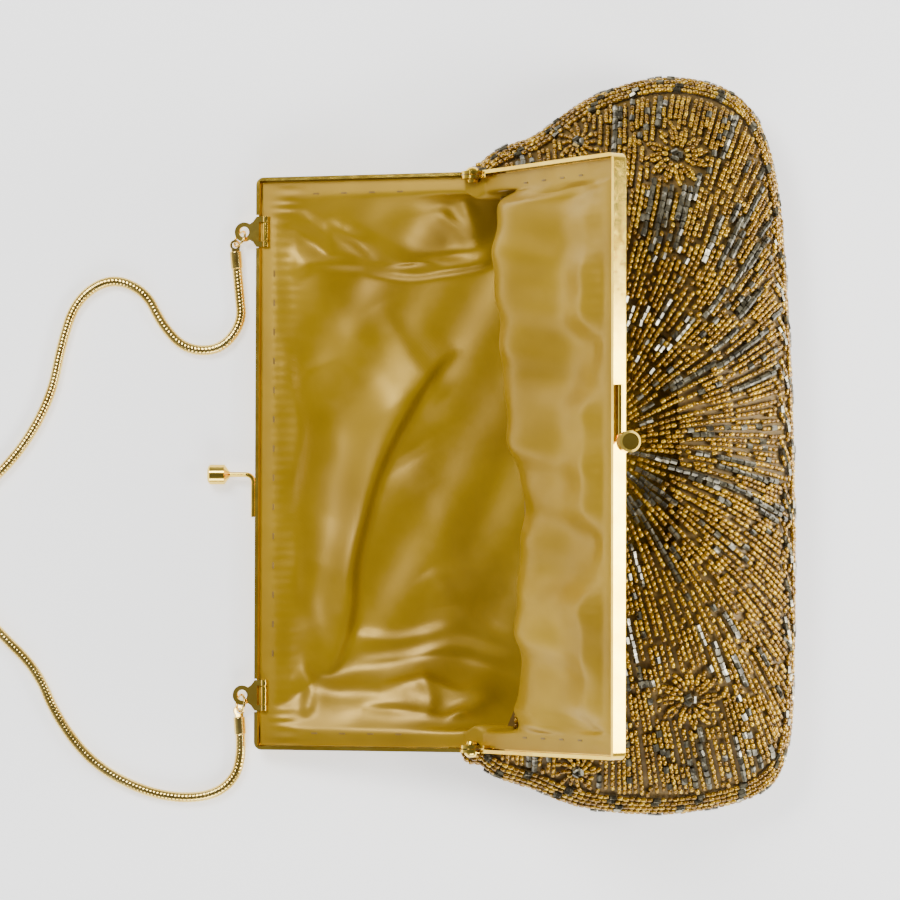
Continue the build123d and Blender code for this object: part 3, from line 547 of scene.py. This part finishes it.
def bead_pieces(beads, prefix, most=1750):
    """Mesh pieces of the laid beads, a few thousand beads in each."""
    made = []
    for kind, rows in beads.rows.items():
        if not rows:
            continue
        template, faces = bead_template(kind)
        corners = [np.array([f for f in faces if len(f) == n]) for n in sorted({len(f) for f in faces})]
        for part in range(ceil(len(rows) / most)):
            chunk = rows[part * most : (part + 1) * most]
            middle = np.array([r[0] for r in chunk])
            way = np.array([r[1] for r in chunk])
            normal = np.array([r[2] for r in chunk])
            size = np.array([r[3] for r in chunk])
            way /= np.linalg.norm(way, axis=1)[:, None]
            side = np.cross(normal, way)
            side /= np.linalg.norm(side, axis=1)[:, None]
            up = np.cross(way, side)
            vertices = (
                middle[:, None, :]
                + way[:, None, :] * (template[None, :, 0] * size[:, None])[:, :, None]
                + side[:, None, :] * (template[None, :, 1] * size[:, None])[:, :, None]
                + up[:, None, :] * (template[None, :, 2] * size[:, None])[:, :, None]
            ).reshape(-1, 3)
            mesh = bpy.data.meshes.new(f"{prefix}_{kind}_{part + 1}")
            loops, starts, totals, at = [], [], [], 0
            for group in corners:
                wide = group.shape[1]
                first = (np.arange(len(chunk)) * len(template))[:, None, None]
                all_faces = (group[None, :, :] + first).reshape(-1, wide)
                loops.append(all_faces.ravel())
                starts.append(at + np.arange(len(all_faces)) * wide)
                totals.append(np.full(len(all_faces), wide))
                at += all_faces.size
            loops, starts = np.concatenate(loops), np.concatenate(starts)
            mesh.vertices.add(len(vertices))
            mesh.vertices.foreach_set("co", put(vertices).ravel())
            mesh.loops.add(len(loops))
            mesh.loops.foreach_set("vertex_index", loops.astype(np.int32))
            mesh.polygons.add(len(starts))
            mesh.polygons.foreach_set("loop_start", starts.astype(np.int32))
            mesh.update(calc_edges=True)
            mesh.validate()
            mesh.polygons.foreach_set("use_smooth", [kind == "gold"] * len(mesh.polygons))
            mesh.materials.append(GOLD_BEAD if kind == "gold" else GREY_BEAD)
            piece = bpy.data.objects.new(mesh.name, mesh)
            bpy.context.scene.collection.objects.link(piece)
            made.append(piece)
    return made


def on_show(p):
    """Whether a point of the upper skin is outside the front half and its panel."""
    return abs(p[1]) > 90.5 or (front_depth(p) > 8.2 and p[0] > smooth_lip(p[1]) + 2.5)


top = Beads()
strand_number = 0


def lay_line(beads, points, kinds, gap=None):
    """Lays beads end to end along a line of plan points on the upper skin."""
    global strand_number
    strand_number += 1
    line = np.array([skin_frame(x, y)[0] for x, y in points])
    lengths = np.concatenate([[0], np.cumsum(np.linalg.norm(np.diff(line, axis=0), axis=1))])
    place, count = 0.0, 0
    while True:
        kind = kinds[count % len(kinds)]
        half = BEAD[kind][1] / 2
        if place + 2 * half > lengths[-1] + 0.3:
            break
        middle = np.array([np.interp(place + half, lengths, line[:, i]) for i in range(3)])
        ahead = np.array([np.interp(place + half + 0.3, lengths, line[:, i]) for i in range(3)])
        behind = np.array([np.interp(place + half - 0.3, lengths, line[:, i]) for i in range(3)])
        point, normal = skin_frame(middle[0], middle[1])
        if on_show(point) and not (gap and beads.near(point, gap, (strand_number,))):
            beads.lay(kind, point, ahead - behind, normal, strand_number)
        place += 2 * half + 0.12
        count += 1


def inward(angle, distance):
    """Plan point that lies distance in from the seam, along the upper skin, at an angle."""
    reach = float(np.interp(angle, ANGLES, REACH))
    shares = np.linspace(1.0, 0.4, 60)
    heights = np.interp(shares, UP_SHARE, UP_Z)
    steps = np.hypot(np.diff(shares) * reach, np.diff(heights))
    share = float(np.interp(distance, np.concatenate([[0], np.cumsum(steps)]), shares))
    return CENTRE[0] + cos(angle) * reach * share, CENTRE[1] + sin(angle) * reach * share


# Angles, from the middle of the pouch, evenly spaced along its edge.
edge_angles = np.linspace(-pi, pi, 2000)
edge_reach = np.interp(edge_angles, ANGLES, REACH)
edge_points = np.stack([np.cos(edge_angles), np.sin(edge_angles)], axis=1) * edge_reach[:, None]
edge_run = np.concatenate([[0], np.cumsum(np.linalg.norm(np.diff(edge_points, axis=0), axis=1))])


def angle_at(run):
    return float(np.interp(run % edge_run[-1], edge_run, edge_angles))


def run_at(angle):
    return float(np.interp(angle, edge_angles, edge_run))


MOUTH_ANGLE = radians(119)  # the edge strands end here, beside the hinge, on either side
edge_from, edge_to = run_at(-MOUTH_ANGLE), run_at(MOUTH_ANGLE)
for distance in (0.9, 2.7):
    runs = np.arange(edge_from, edge_to, 2.0)
    lay_line(top, [inward(angle_at(r), distance) for r in runs], ["gold"] * 9 + ["grey"])
shoulder = radians(52)
for distance in (4.5, 6.3):
    for start, end in ((edge_from, run_at(-shoulder)), (run_at(shoulder), edge_to)):
        runs = np.arange(start, end, 2.0)
        lay_line(top, [inward(angle_at(r), distance) for r in runs], ["gold"] * 6 + ["grey"])

# Border of slanting pairs along the bottom edge: four grey beads beside five gold ones.
PAIR_PITCH = 14.0
run = run_at(-shoulder)
while run < run_at(shoulder):
    for offset, kinds in ((0.0, ["grey"] * 4), (3.1, ["gold"] * 5), (-1.9, ["gold"] * 4)):
        line = [
            inward(angle_at(run + offset + t * 9.0), 4.6 + 4.4 * (0.5 - 0.5 * cos(pi * t)))
            for t in np.linspace(0, 1, 12)
        ]
        lay_line(top, line, kinds, gap=1.25)
    run += PAIR_PITCH

# Flowers: a dark middle and a round of looped petals, gold outside a grey vein.
FLOWERS = [(63.0, 94.5, 10.6), (67.0, -73.0, 10.6), (33.0, 99.0, 7.0), (33.0, -95.5, 7.0)]
for fx, fy, size in FLOWERS:
    for k in range(3):
        a = 2 * pi * k / 3
        spot = (fx + 1.1 * cos(a), fy + 1.1 * sin(a))
        point, normal = skin_frame(*spot)
        top.lay("grey", point, np.array((-sin(a), cos(a), 0.0)), normal, -1)
    petals = 12
    for k in range(petals):
        a = 2 * pi * (k + rng.uniform(-0.12, 0.12)) / petals
        reach = size * rng.uniform(0.9, 1.08)
        for bend, kinds, stop in ((-0.13, ["gold"], 1.0), (0.13, ["gold"], 1.0), (0.0, ["grey"], 0.82)):
            line = []
            for t in np.linspace(0.27 if bend else 0.42, stop, 9):
                sway = a + bend * sin(pi * min(t * 1.04, 1)) + 0.18 * t
                line.append((fx + cos(sway) * reach * t, fy + sin(sway) * reach * t))
            lay_line(top, line, kinds, gap=1.15)

# Rays spread from the middle of the front and run out to the border in short strands.
RAYS = (33.0, 6.0)


def ray_way(x, y):
    """Direction of the strands at a plan point."""
    dx, dy = x - RAYS[0], y - RAYS[1]
    reach = hypot(dx, dy) + 1e-6
    angle = atan2(dy, dx)
    angle += 0.16 * sin(2 * angle) * min(reach / 70, 1.3) + 0.05 * sin(x * 0.13 + y * 0.07)
    return cos(angle), sin(angle)


def grow(x, y, sign, limit, number, spacing):
    """Follows the rays from a point for up to limit millimetres, and returns plan points."""
    points = []
    gone = 0.0
    while gone < limit:
        dx, dy = ray_way(x, y)
        point, normal = skin_frame(x, y)
        step = 0.9 / sqrt(1 + (normal[0] * dx + normal[1] * dy) ** 2 / max(normal[2], 0.2) ** 2)
        x, y = x + sign * dx * step, y + sign * dy * step
        gone += 0.9
        if share_at(x, y) > 0.985:
            break
        point, _ = skin_frame(x, y)
        if not on_show(point) or top.near(point, spacing, (number,)):
            break
        points.append((x, y))
    return points


def fill_rays(spacing, tries_pitch, shortest):
    """Adds strands wherever the cloth is still bare."""
    global strand_number
    seeds = []
    for x in np.arange(0, 101, tries_pitch):
        for y in np.arange(-110, 122, tries_pitch):
            seeds.append((x + rng.uniform(-0.5, 0.5), y + rng.uniform(-0.5, 0.5)))
    rng.shuffle(seeds)
    for x, y in seeds:
        if share_at(x, y) > 0.97:
            continue
        point, _ = skin_frame(x, y)
        if not on_show(point) or top.near(point, spacing):
            continue
        number = strand_number + 1
        limit = rng.uniform(7, 16)
        back = grow(x, y, -1, limit, number, spacing)[::-1]
        ahead = grow(x, y, 1, limit, number, spacing)
        line = back + [(x, y)] + ahead
        if len(line) < shortest:
            continue
        draw = rng.random()
        kinds = ["grey"] if draw < 0.19 else (["gold"] if draw < 0.9 else ["gold", "gold", "grey"])
        lay_line(top, line, kinds)


fill_rays(STRAND * 0.87, 2.0, 4)
fill_rays(STRAND * 0.80, 1.6, 3)
fill_rays(STRAND * 0.76, 1.4, 2)
for piece in bead_pieces(top, "front_beads"):
    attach(piece, ROOT)
print("front beads", {k: len(v) for k, v in top.rows.items()})

# ---------------------------------------------------------------- front cover
PANEL_TOP, PANEL_SIDE = 68.6, 86.0


def panel_frame(s, y):
    """Point and outward normal of the cloth behind the front half."""
    edge = min(PANEL_TOP - s, PANEL_SIDE - abs(y), 30)
    depth = 4.5 + 4.4 * sqrt(max(edge, 0) / 30) + 0.5 * sin(y * 0.12 + s * 0.05) * min(edge / 15, 1)
    point = FRONT_ALONG * s + FRONT_DEPTH * depth + np.array((0, y, 0))
    lean = max(0, 1 - edge / 8)
    normal = FRONT_DEPTH.copy()
    if edge == PANEL_TOP - s:
        normal = normal + FRONT_ALONG * 0.7 * lean
    elif edge == PANEL_SIDE - abs(y):
        normal = normal + np.array((0, 0.7 * lean * (1 if y > 0 else -1), 0))
    return point, normal / np.linalg.norm(normal)


PANEL_ROWS, PANEL_COLUMNS = 40, 90
cover = []
for s in np.linspace(17.5, PANEL_TOP, PANEL_ROWS):
    for y in np.linspace(-PANEL_SIDE, PANEL_SIDE, PANEL_COLUMNS):
        point, normal = panel_frame(s, y)
        cover.append(point - normal * 0.5)
cover_cloth = make_mesh("front_cover_cloth", put(cover), grid_faces(PANEL_ROWS, PANEL_COLUMNS, False), GROUND)
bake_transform(cover_cloth)
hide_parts("front_panel")

panel = Beads()


def lay_on(beads, surface, places, kinds):
    """Lays beads end to end along places of any surface."""
    global strand_number
    strand_number += 1
    frames = [surface(*place) for place in places]
    line = np.array([f[0] for f in frames])
    lengths = np.concatenate([[0], np.cumsum(np.linalg.norm(np.diff(line, axis=0), axis=1))])
    place, count = 0.0, 0
    while place + BEAD[kinds[count % len(kinds)]][1] < lengths[-1]:
        kind = kinds[count % len(kinds)]
        half = BEAD[kind][1] / 2
        middle, ahead, behind = (
            np.array([np.interp(place + half + off, lengths, line[:, i]) for i in range(3)])
            for off in (0, 0.4, -0.4)
        )
        normal = frames[min(bisect_right(list(lengths), place + half), len(frames) - 1)][1]
        beads.lay(kind, middle, ahead - behind, normal, strand_number)
        place += 2 * half + 0.1
        count += 1


for y in np.arange(-84.5, 85, STRAND):
    s = 18.5 + rng.uniform(-0.5, 1)
    while s < 64:
        far = min(s + rng.uniform(8, 17), 67.8)
        draw = rng.random()
        kinds = ["grey"] if draw < 0.19 else (["gold"] if draw < 0.9 else ["gold", "gold", "grey"])
        lean = 0.10 * (y / 85) * 4
        lay_on(panel, panel_frame, [(v, y + lean * sin(v * 0.1)) for v in np.linspace(s, far, 8)], kinds)
        s = far + 0.5
for piece in bead_pieces(panel, "panel_beads"):
    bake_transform(piece)

# ---------------------------------------------------------------- back cover and the sides
TRAY_SIDE = 85.8
tan_fall = sin(FALL) / cos(FALL)
FLOOR = 0.35 - HINGE[2]


def under_frame(x):
    """Height of the underside of the back half over a place."""
    return min(x, 1.0) * tan_fall - 5.0


tray = []
TRAY_ROWS = 60
tray_lines = np.linspace(-65.0, 8.0, TRAY_ROWS)
for x in tray_lines:
    top_edge = under_frame(x)
    side = [
        (TRAY_SIDE - 1.2, top_edge + 1.6), (TRAY_SIDE - 0.3, top_edge),
        (TRAY_SIDE + 0.2, (top_edge + FLOOR) / 2), (TRAY_SIDE - 0.6, FLOOR + 0.9), (TRAY_SIDE - 2.0, FLOOR),
    ] + [(y, FLOOR) for y in np.linspace(80, 0, 8)]
    both = side + [(-y, z) for y, z in side[::-1][1:]]
    tray += [(x, y, z) for y, z in both]
TRAY_COLUMNS = len(tray) // TRAY_ROWS
tray_cloth = make_mesh("back_cover_cloth", put(tray), grid_faces(TRAY_ROWS, TRAY_COLUMNS, False), GROUND)
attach(tray_cloth, ROOT)
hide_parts("back_panel")

sides = Beads()


def side_frame(sign):
    def frame_at(x, z):
        return np.array((x, sign * (TRAY_SIDE + 0.1), z)), np.array((0, sign, 0.0))

    return frame_at


for sign in (1, -1):
    for x in np.arange(-62, 4, STRAND):
        low, high = FLOOR + 0.8, under_frame(x) - 0.2
        if high - low > 2:
            kinds = ["grey"] if rng.random() < 0.2 else ["gold"]
            lay_on(sides, side_frame(sign), [(x, z) for z in np.linspace(low, high, 5)], kinds)


def rim_frame(angle, low):
    """Point and outward normal of the lower skin, low millimetres under the seam."""
    z = 15 - low - HINGE[2]
    share = float(np.interp(-z, -LOW_Z[::-1], LOW_SHARE[::-1]))
    reach = float(np.interp(angle, ANGLES, REACH)) * share
    out = np.array((cos(angle), sin(angle), 0))
    normal = out * (1 - low / 18) + np.array((0, 0, -low / 16))
    return np.array((CENTRE[0], CENTRE[1], z)) + out * reach, normal / np.linalg.norm(normal)


for low in (0.8, 2.5, 4.2, 5.9, 7.6, 9.3, 10.9, 12.3):
    runs = np.arange(edge_from, edge_to, 2.0)
    kinds = ["gold"] * int(rng.integers(4, 9)) + ["grey"] * 2
    lay_on(sides, rim_frame, [(angle_at(r), low) for r in runs], kinds)
for piece in bead_pieces(sides, "side_beads"):
    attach(piece, ROOT)
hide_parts("seam_piping")

# ---------------------------------------------------------------- satin lining
def deep_line(y):
    """The satin's path from the back bar, over the floor, up to the front bar, at one place along Y."""
    lip = smooth_lip(y)
    knots = [
        (0.0, -66.9, -21.75), (0.045, -61.0, -20.1), (0.07, -56.5, -21.9), (0.12, -48.0, -22.5),
        (0.30, -8.0, -22.7),
        (0.40, 45.0, -21.5), (0.47, 84.0, -14.0), (0.50, 90.0, -8.0), (0.53, 86.0, 0.0), (0.60, 52.0, 7.0),
        (0.67, lip + 8, 6.6), (0.71, lip + 1.6, 8.2), (0.745, lip, 11.5), (0.79, lip + 2.5, 19.5),
        (0.88, 29.6, 33.5), (0.955, 39.1, 50.4), (1.0, 43.3, 54.6),
    ]  # fmt: skip
    return np.array(knots)


def leg_line(s):
    """The hem's path along the legs of the frame."""
    if s < 0.42:
        local = 69.7 + (3 - 69.7) * s / 0.42
        return BACK_ALONG * local + BACK_DEPTH * 2.55
    if s > 0.58:
        local = 3 + (69.7 - 3) * (s - 0.58) / 0.42
        return FRONT_ALONG * local + FRONT_DEPTH * 2.55
    t = (s - 0.42) / 0.16
    return (BACK_ALONG * 3 + BACK_DEPTH * 2.55) * (1 - t) + (FRONT_ALONG * 3 + FRONT_DEPTH * 2.55) * t


# How far out the satin's floor reaches, above and below, as it goes from bar to bar.
WALL_AT = np.array([0.0, 0.05, 0.13, 0.22, 0.31, 0.40, 0.66, 0.74, 0.80, 0.88, 0.95, 1.0])
WALL_UP = np.array([80.0, 76.0, 66.5, 63.5, 67.0, 88.0, 84.0, 79.0, 77.0, 78.0, 81.0, 84.0])
WALL_LOW = np.array([80.0, 76.0, 67.0, 63.0, 60.5, 84.0, 80.0, 76.0, 76.0, 77.0, 81.0, 84.0])

FOLDS = [  # (points in plan, height, width on one side, width on the other)
    ([(-6, 37), (-12.9, 29.7), (-22.4, 14), (-30.2, -1.8), (-34.3, -17.5), (-38.1, -33.3), (-37.5, -42.7),
      (-39.7, -55.3), (-46, -67)], 2.9, 1.5, 7.0),
    ([(-61, 71), (-44.4, 48.6), (-30, 26), (-17, 6)], 1.8, 8.0, 9.0),
    ([(-50, 30), (-40, 5), (-52, -30)], -1.2, 7.0, 7.0),
    ([(-58, 60), (-50, 64), (-30, 63), (-8, 66)], 1.5, 5.0, 2.5),
    ([(-2, 62), (-26, 66), (-40, 74)], 1.0, 2.4, 2.4),
    ([(-36, -63), (-18, -61), (-4, -57), (10, -62)], 1.3, 2.6, 4.5),
    ([(-28, -70), (-14, -68), (-4, -72), (6, -69)], 1.5, 1.4, 3.0),
    ([(-34, -77), (-18, -78), (-8, -80), (4, -77)], 1.3, 1.3, 2.4),
    ([(-10, -82), (0, -76), (8, -72)], 1.4, 1.5, 1.8),
    ([(-4, 84), (2, 72), (6, 63)], 1.9, 1.6, 2.6),
    ([(-12, 80), (-4, 74), (2, 66)], 1.1, 1.4, 2.0),
    ([(-56, -66), (-44, -72), (-20, -72)], 1.1, 3.0, 3.5),
    ([(-20, 0), (-8, -20), (-4, -44)], 1.0, 8.0, 8.0),
    ([(-58, -10), (-56, -40), (-50, -60)], 1.0, 4.0, 6.0),
    ([(-34, 61), (-18, 59.5), (0, 62.5), (8, 64)], 1.7, 4.5, 1.3),
    ([(-62, 40), (-54, 10), (-57, -14)], 0.9, 3.0, 5.0),
    ([(-46, 76), (-36, 70), (-30, 64)], 0.9, 1.8, 2.2),
    ([(-54, 79), (-46, 72), (-44, 66)], 0.8, 1.6, 2.0),
    ([(-30, 50), (-18, 30), (-8, 22)], 0.9, 3.5, 5.0),
    ([(-14, -34), (-2, -48), (8, -56)], 1.0, 3.0, 5.0),
    ([(-40, -54), (-24, -56), (-6, -52)], 0.9, 2.2, 4.5),
    ([(-16, -64), (-12, -74), (-14, -80)], 1.0, 1.3, 2.2),
    ([(-54, -60), (-50, -72), (-52, -80)], 0.8, 1.8, 2.2),
]  # fmt: skip


def fold_height(x, y, fold):
    """Height of one fold over arrays of plan points."""
    points, height, before, after = fold
    p = np.array(points, dtype=float)
    steps = np.linspace(0, len(p) - 1, 60)
    dense = np.stack([np.interp(steps, np.arange(len(p)), p[:, i]) for i in (0, 1)], axis=1)
    kernel = np.ones(9) / 9
    dense[4:-4] = np.stack([np.convolve(dense[:, i], kernel, "valid") for i in (0, 1)], axis=1)
    a, b = dense[:-1], dense[1:]
    ab = b - a
    px, py = x[..., None] - a[:, 0], y[..., None] - a[:, 1]
    t = np.clip((px * ab[:, 0] + py * ab[:, 1]) / (ab**2).sum(axis=1), 0, 1)
    gap = np.hypot(px - t * ab[:, 0], py - t * ab[:, 1])
    near = gap.argmin(axis=-1)
    distance = np.take_along_axis(gap, near[..., None], -1)[..., 0]
    cross = np.take_along_axis(ab[:, 0] * py - ab[:, 1] * px, near[..., None], -1)[..., 0]
    wide = np.where(cross > 0, before, after)
    run = (near + np.take_along_axis(t, near[..., None], -1)[..., 0]) / len(ab)
    ends = np.clip(np.minimum(run, 1 - run) * 5, 0.0, 1) ** 0.7
    return height * ends * np.exp(-((distance / wide) ** 2))


SATIN_COLUMNS, SATIN_ROWS = 250, 340
HEM_SHARE, WALL_SHARE = 0.93, 0.70  # rows beyond these are hem and wall; the rest is floor and front
HEM_SIDE, HEM_WIDE = 88.6, 5.5
share_s = np.linspace(0, 1, SATIN_COLUMNS)
t_rows = np.linspace(-1, 1, SATIN_ROWS)
sheet = np.zeros((SATIN_ROWS, SATIN_COLUMNS, 3))
legs = np.array([leg_line(s) for s in share_s])
for row, t in enumerate(t_rows):
    u, sign = abs(t), (1 if t > 0 else -1)
    hem = HEM_SIDE - 2.2 * np.exp(-(((share_s - 0.5) / 0.06) ** 2))
    wall = np.interp(share_s, WALL_AT, WALL_UP if sign > 0 else WALL_LOW)
    inner = hem - HEM_WIDE
    if u > HEM_SHARE:
        y = inner + (hem - inner) * (u - HEM_SHARE) / (1 - HEM_SHARE)
        blend = 0.0
    elif u > WALL_SHARE:
        f = (HEM_SHARE - u) / (HEM_SHARE - WALL_SHARE)
        y = inner + (wall - inner) * f
        blend = f**0.9 * (1 - 0.25 * sin(pi * f))
    else:
        y = wall * u / WALL_SHARE
        blend = 1.0
    y = y * sign
    for column, s in enumerate(share_s):
        knots = deep_line(y[column])
        dx = np.interp(s, knots[:, 0], knots[:, 1])
        dz = np.interp(s, knots[:, 0], knots[:, 2])
        leg_x, _, leg_z = legs[column] * (1 - blend)
        sheet[row, column] = (leg_x + dx * blend, y[column], leg_z + dz * blend)


def soften(grid, sigma, axis):
    """The grid blurred along one axis, its ends kept in place."""
    reach = int(sigma * 3)
    kernel = np.exp(-0.5 * (np.arange(-reach, reach + 1) / sigma) ** 2)
    kernel /= kernel.sum()
    padded = np.concatenate(
        [
            2 * np.take(grid, [0], axis) - np.flip(np.take(grid, range(1, reach + 1), axis), axis),
            grid,
            2 * np.take(grid, [-1], axis) - np.flip(np.take(grid, range(-reach - 1, -1), axis), axis),
        ],
        axis,
    )
    return np.apply_along_axis(lambda v: np.convolve(v, kernel, "valid"), axis, padded)


soft = soften(soften(sheet, 3.2, 1), 3.0, 0)
bar_gap = np.clip(np.minimum(share_s, 1 - share_s) / 0.05, 0, 1)[None, :, None]
row_gap = np.clip((0.945 - np.abs(t_rows)) / 0.06, 0, 1)[:, None, None]
hold = np.minimum(bar_gap, row_gap) ** 0.5
sheet = sheet * (1 - hold) + soft * hold

# Folds and slack, raised along the satin's own normal.
across = np.gradient(sheet, axis=1)
down = np.gradient(sheet, axis=0)
normals = np.cross(across, down)
normals /= np.linalg.norm(normals, axis=2)[:, :, None] + 1e-9
X, Y = sheet[:, :, 0], sheet[:, :, 1]
floor_part = (share_s < 0.40)[None, :]
front_part = (share_s > 0.70)[None, :]
rise = np.zeros(X.shape)
for fold in FOLDS:
    rise += np.where(floor_part, fold_height(X, Y, fold), 0)
slack = 0.55 * np.sin(X * 0.16 + Y * 0.05 + 0.6) * np.sin(Y * 0.10 - X * 0.03)
slack += 0.35 * np.sin(X * 0.31 - Y * 0.17 + 1.0)
rise += np.where(floor_part, slack * 0.8, 0)
run = share_s[None, :] * np.ones_like(X)
front_folds = 1.5 + 2.2 * np.sin(Y * 0.115 + 6 * (run - 0.8) + 0.9)
front_folds += np.sin(Y * 0.21 - 14 * (run - 0.8))
front_folds += 0.6 * np.sin(Y * 0.43 + 20 * (run - 0.8))
rise += np.where(front_part, front_folds * np.clip((run - 0.70) * 12, 0, 1), 0)
from_bar = np.minimum(run, 1 - run)
gather = 0.09 * np.sin(Y * 2.1 + 0.6 * np.sin(Y * 0.7)) * np.exp(-((from_bar - 0.055) / 0.022) ** 2)
rise += gather
from_hem = np.clip((HEM_SHARE - np.abs(t_rows)) / 0.08, 0, 1)[:, None]
keep = np.clip((from_bar - 0.045) / 0.03, 0, 1) * from_hem
if normals[SATIN_ROWS // 2, int(0.2 * SATIN_COLUMNS), 2] < 0:
    normals = -normals
sheet = sheet + normals * (rise * keep + gather * (1 - keep))[:, :, None]
sheet = sheet * 0.35 + soften(soften(sheet, 1.2, 1), 1.2, 0) * 0.65
sheet[:, :, 2] = np.maximum(sheet[:, :, 2], FLOOR + 0.9)
# The satin stays inside the cover behind the front half, and under the pouch's upper skin.
local_s, local_d = sheet @ FRONT_ALONG, sheet @ FRONT_DEPTH
edge_gap = np.clip(np.minimum(PANEL_TOP - local_s, PANEL_SIDE - np.abs(sheet[:, :, 1])), 0, 30)
deepest = 3.4 + 4.2 * np.sqrt(edge_gap / 30)
over = np.where((run > 0.72) & (local_s > 17), np.maximum(local_d - deepest, 0), 0)
over *= np.clip((local_s - 15) / 5, 0, 1)
sheet = sheet - over[:, :, None] * FRONT_DEPTH
under_skin = (run > 0.36) & (run < 0.73) & (sheet[:, :, 0] > 14) & (local_d > 3.4)
ceiling = top_z(sheet[:, :, 0], sheet[:, :, 1]) - 2.6
sheet[:, :, 2] = np.where(under_skin, np.minimum(sheet[:, :, 2], ceiling), sheet[:, :, 2])
lining = make_mesh("satin_lining", put(sheet), grid_faces(SATIN_ROWS, SATIN_COLUMNS, False), SATIN)
for cad_name in ("pouch_lining", "back_lining", "front_lining"):
    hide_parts(cad_name)
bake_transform(lining)

# ---------------------------------------------------------------- stage and light
FLOOR_SIDE, FLOOR_Z = 3, -0.0002
floor_material, _, _, floor_shader, _ = new_material("floor")
corners = [(x * FLOOR_SIDE, y * FLOOR_SIDE, FLOOR_Z) for x, y in ((-1, -1), (1, -1), (1, 1), (-1, 1))]
stand = make_mesh("floor", corners, [(0, 1, 2, 3)], floor_material)
floor_shader.inputs["Base Color"].default_value = (0.97, 0.97, 0.97, 1)
floor_shader.inputs["Roughness"].default_value = 0.9
floor_shader.inputs["Emission Color"].default_value = (1, 1, 1, 1)
floor_shader.inputs["Emission Strength"].default_value = 0.95

world = bpy.data.worlds.new("studio")
bpy.context.scene.world = world
world.use_nodes = True
sky, sky_links = world.node_tree.nodes, world.node_tree.links
sky_way = sky.new("ShaderNodeTexCoord")
sky_split = sky.new("ShaderNodeSeparateXYZ")
sky_links.new(sky_way.outputs["Generated"], sky_split.inputs["Vector"])
sky_ramp = sky.new("ShaderNodeValToRGB")
sky_ramp.color_ramp.elements[0].position = 0.05
sky_ramp.color_ramp.elements[0].color = (0.80, 0.80, 0.80, 1)
sky_ramp.color_ramp.elements[1].position = 0.95
sky_ramp.color_ramp.elements[1].color = (0.16, 0.16, 0.16, 1)
sky_links.new(sky_split.outputs["Z"], sky_ramp.inputs["Fac"])
sky_links.new(sky_ramp.outputs["Color"], sky["Background"].inputs["Color"])
sky["Background"].inputs["Strength"].default_value = 0.8


def soft_light(name, place, size, power, aim=(0, 0, 0.02)):
    data = bpy.data.lights.new(name, "AREA")
    data.shape = "RECTANGLE"
    data.size, data.size_y = size
    data.energy = power
    lamp = bpy.data.objects.new(name, data)
    bpy.context.scene.collection.objects.link(lamp)
    lamp.location = place
    lamp.rotation_euler = (Vector(aim) - Vector(place)).to_track_quat("-Z", "Y").to_euler()
    return lamp


soft_light("key", (-0.42, 0.50, 0.88), (0.45, 0.45), 11.0)
soft_light("fill", (0.95, -0.1, 0.36), (0.4, 0.9), 20.0)
soft_light("low", (0.1, -0.9, 0.5), (0.8, 0.4), 7.0)
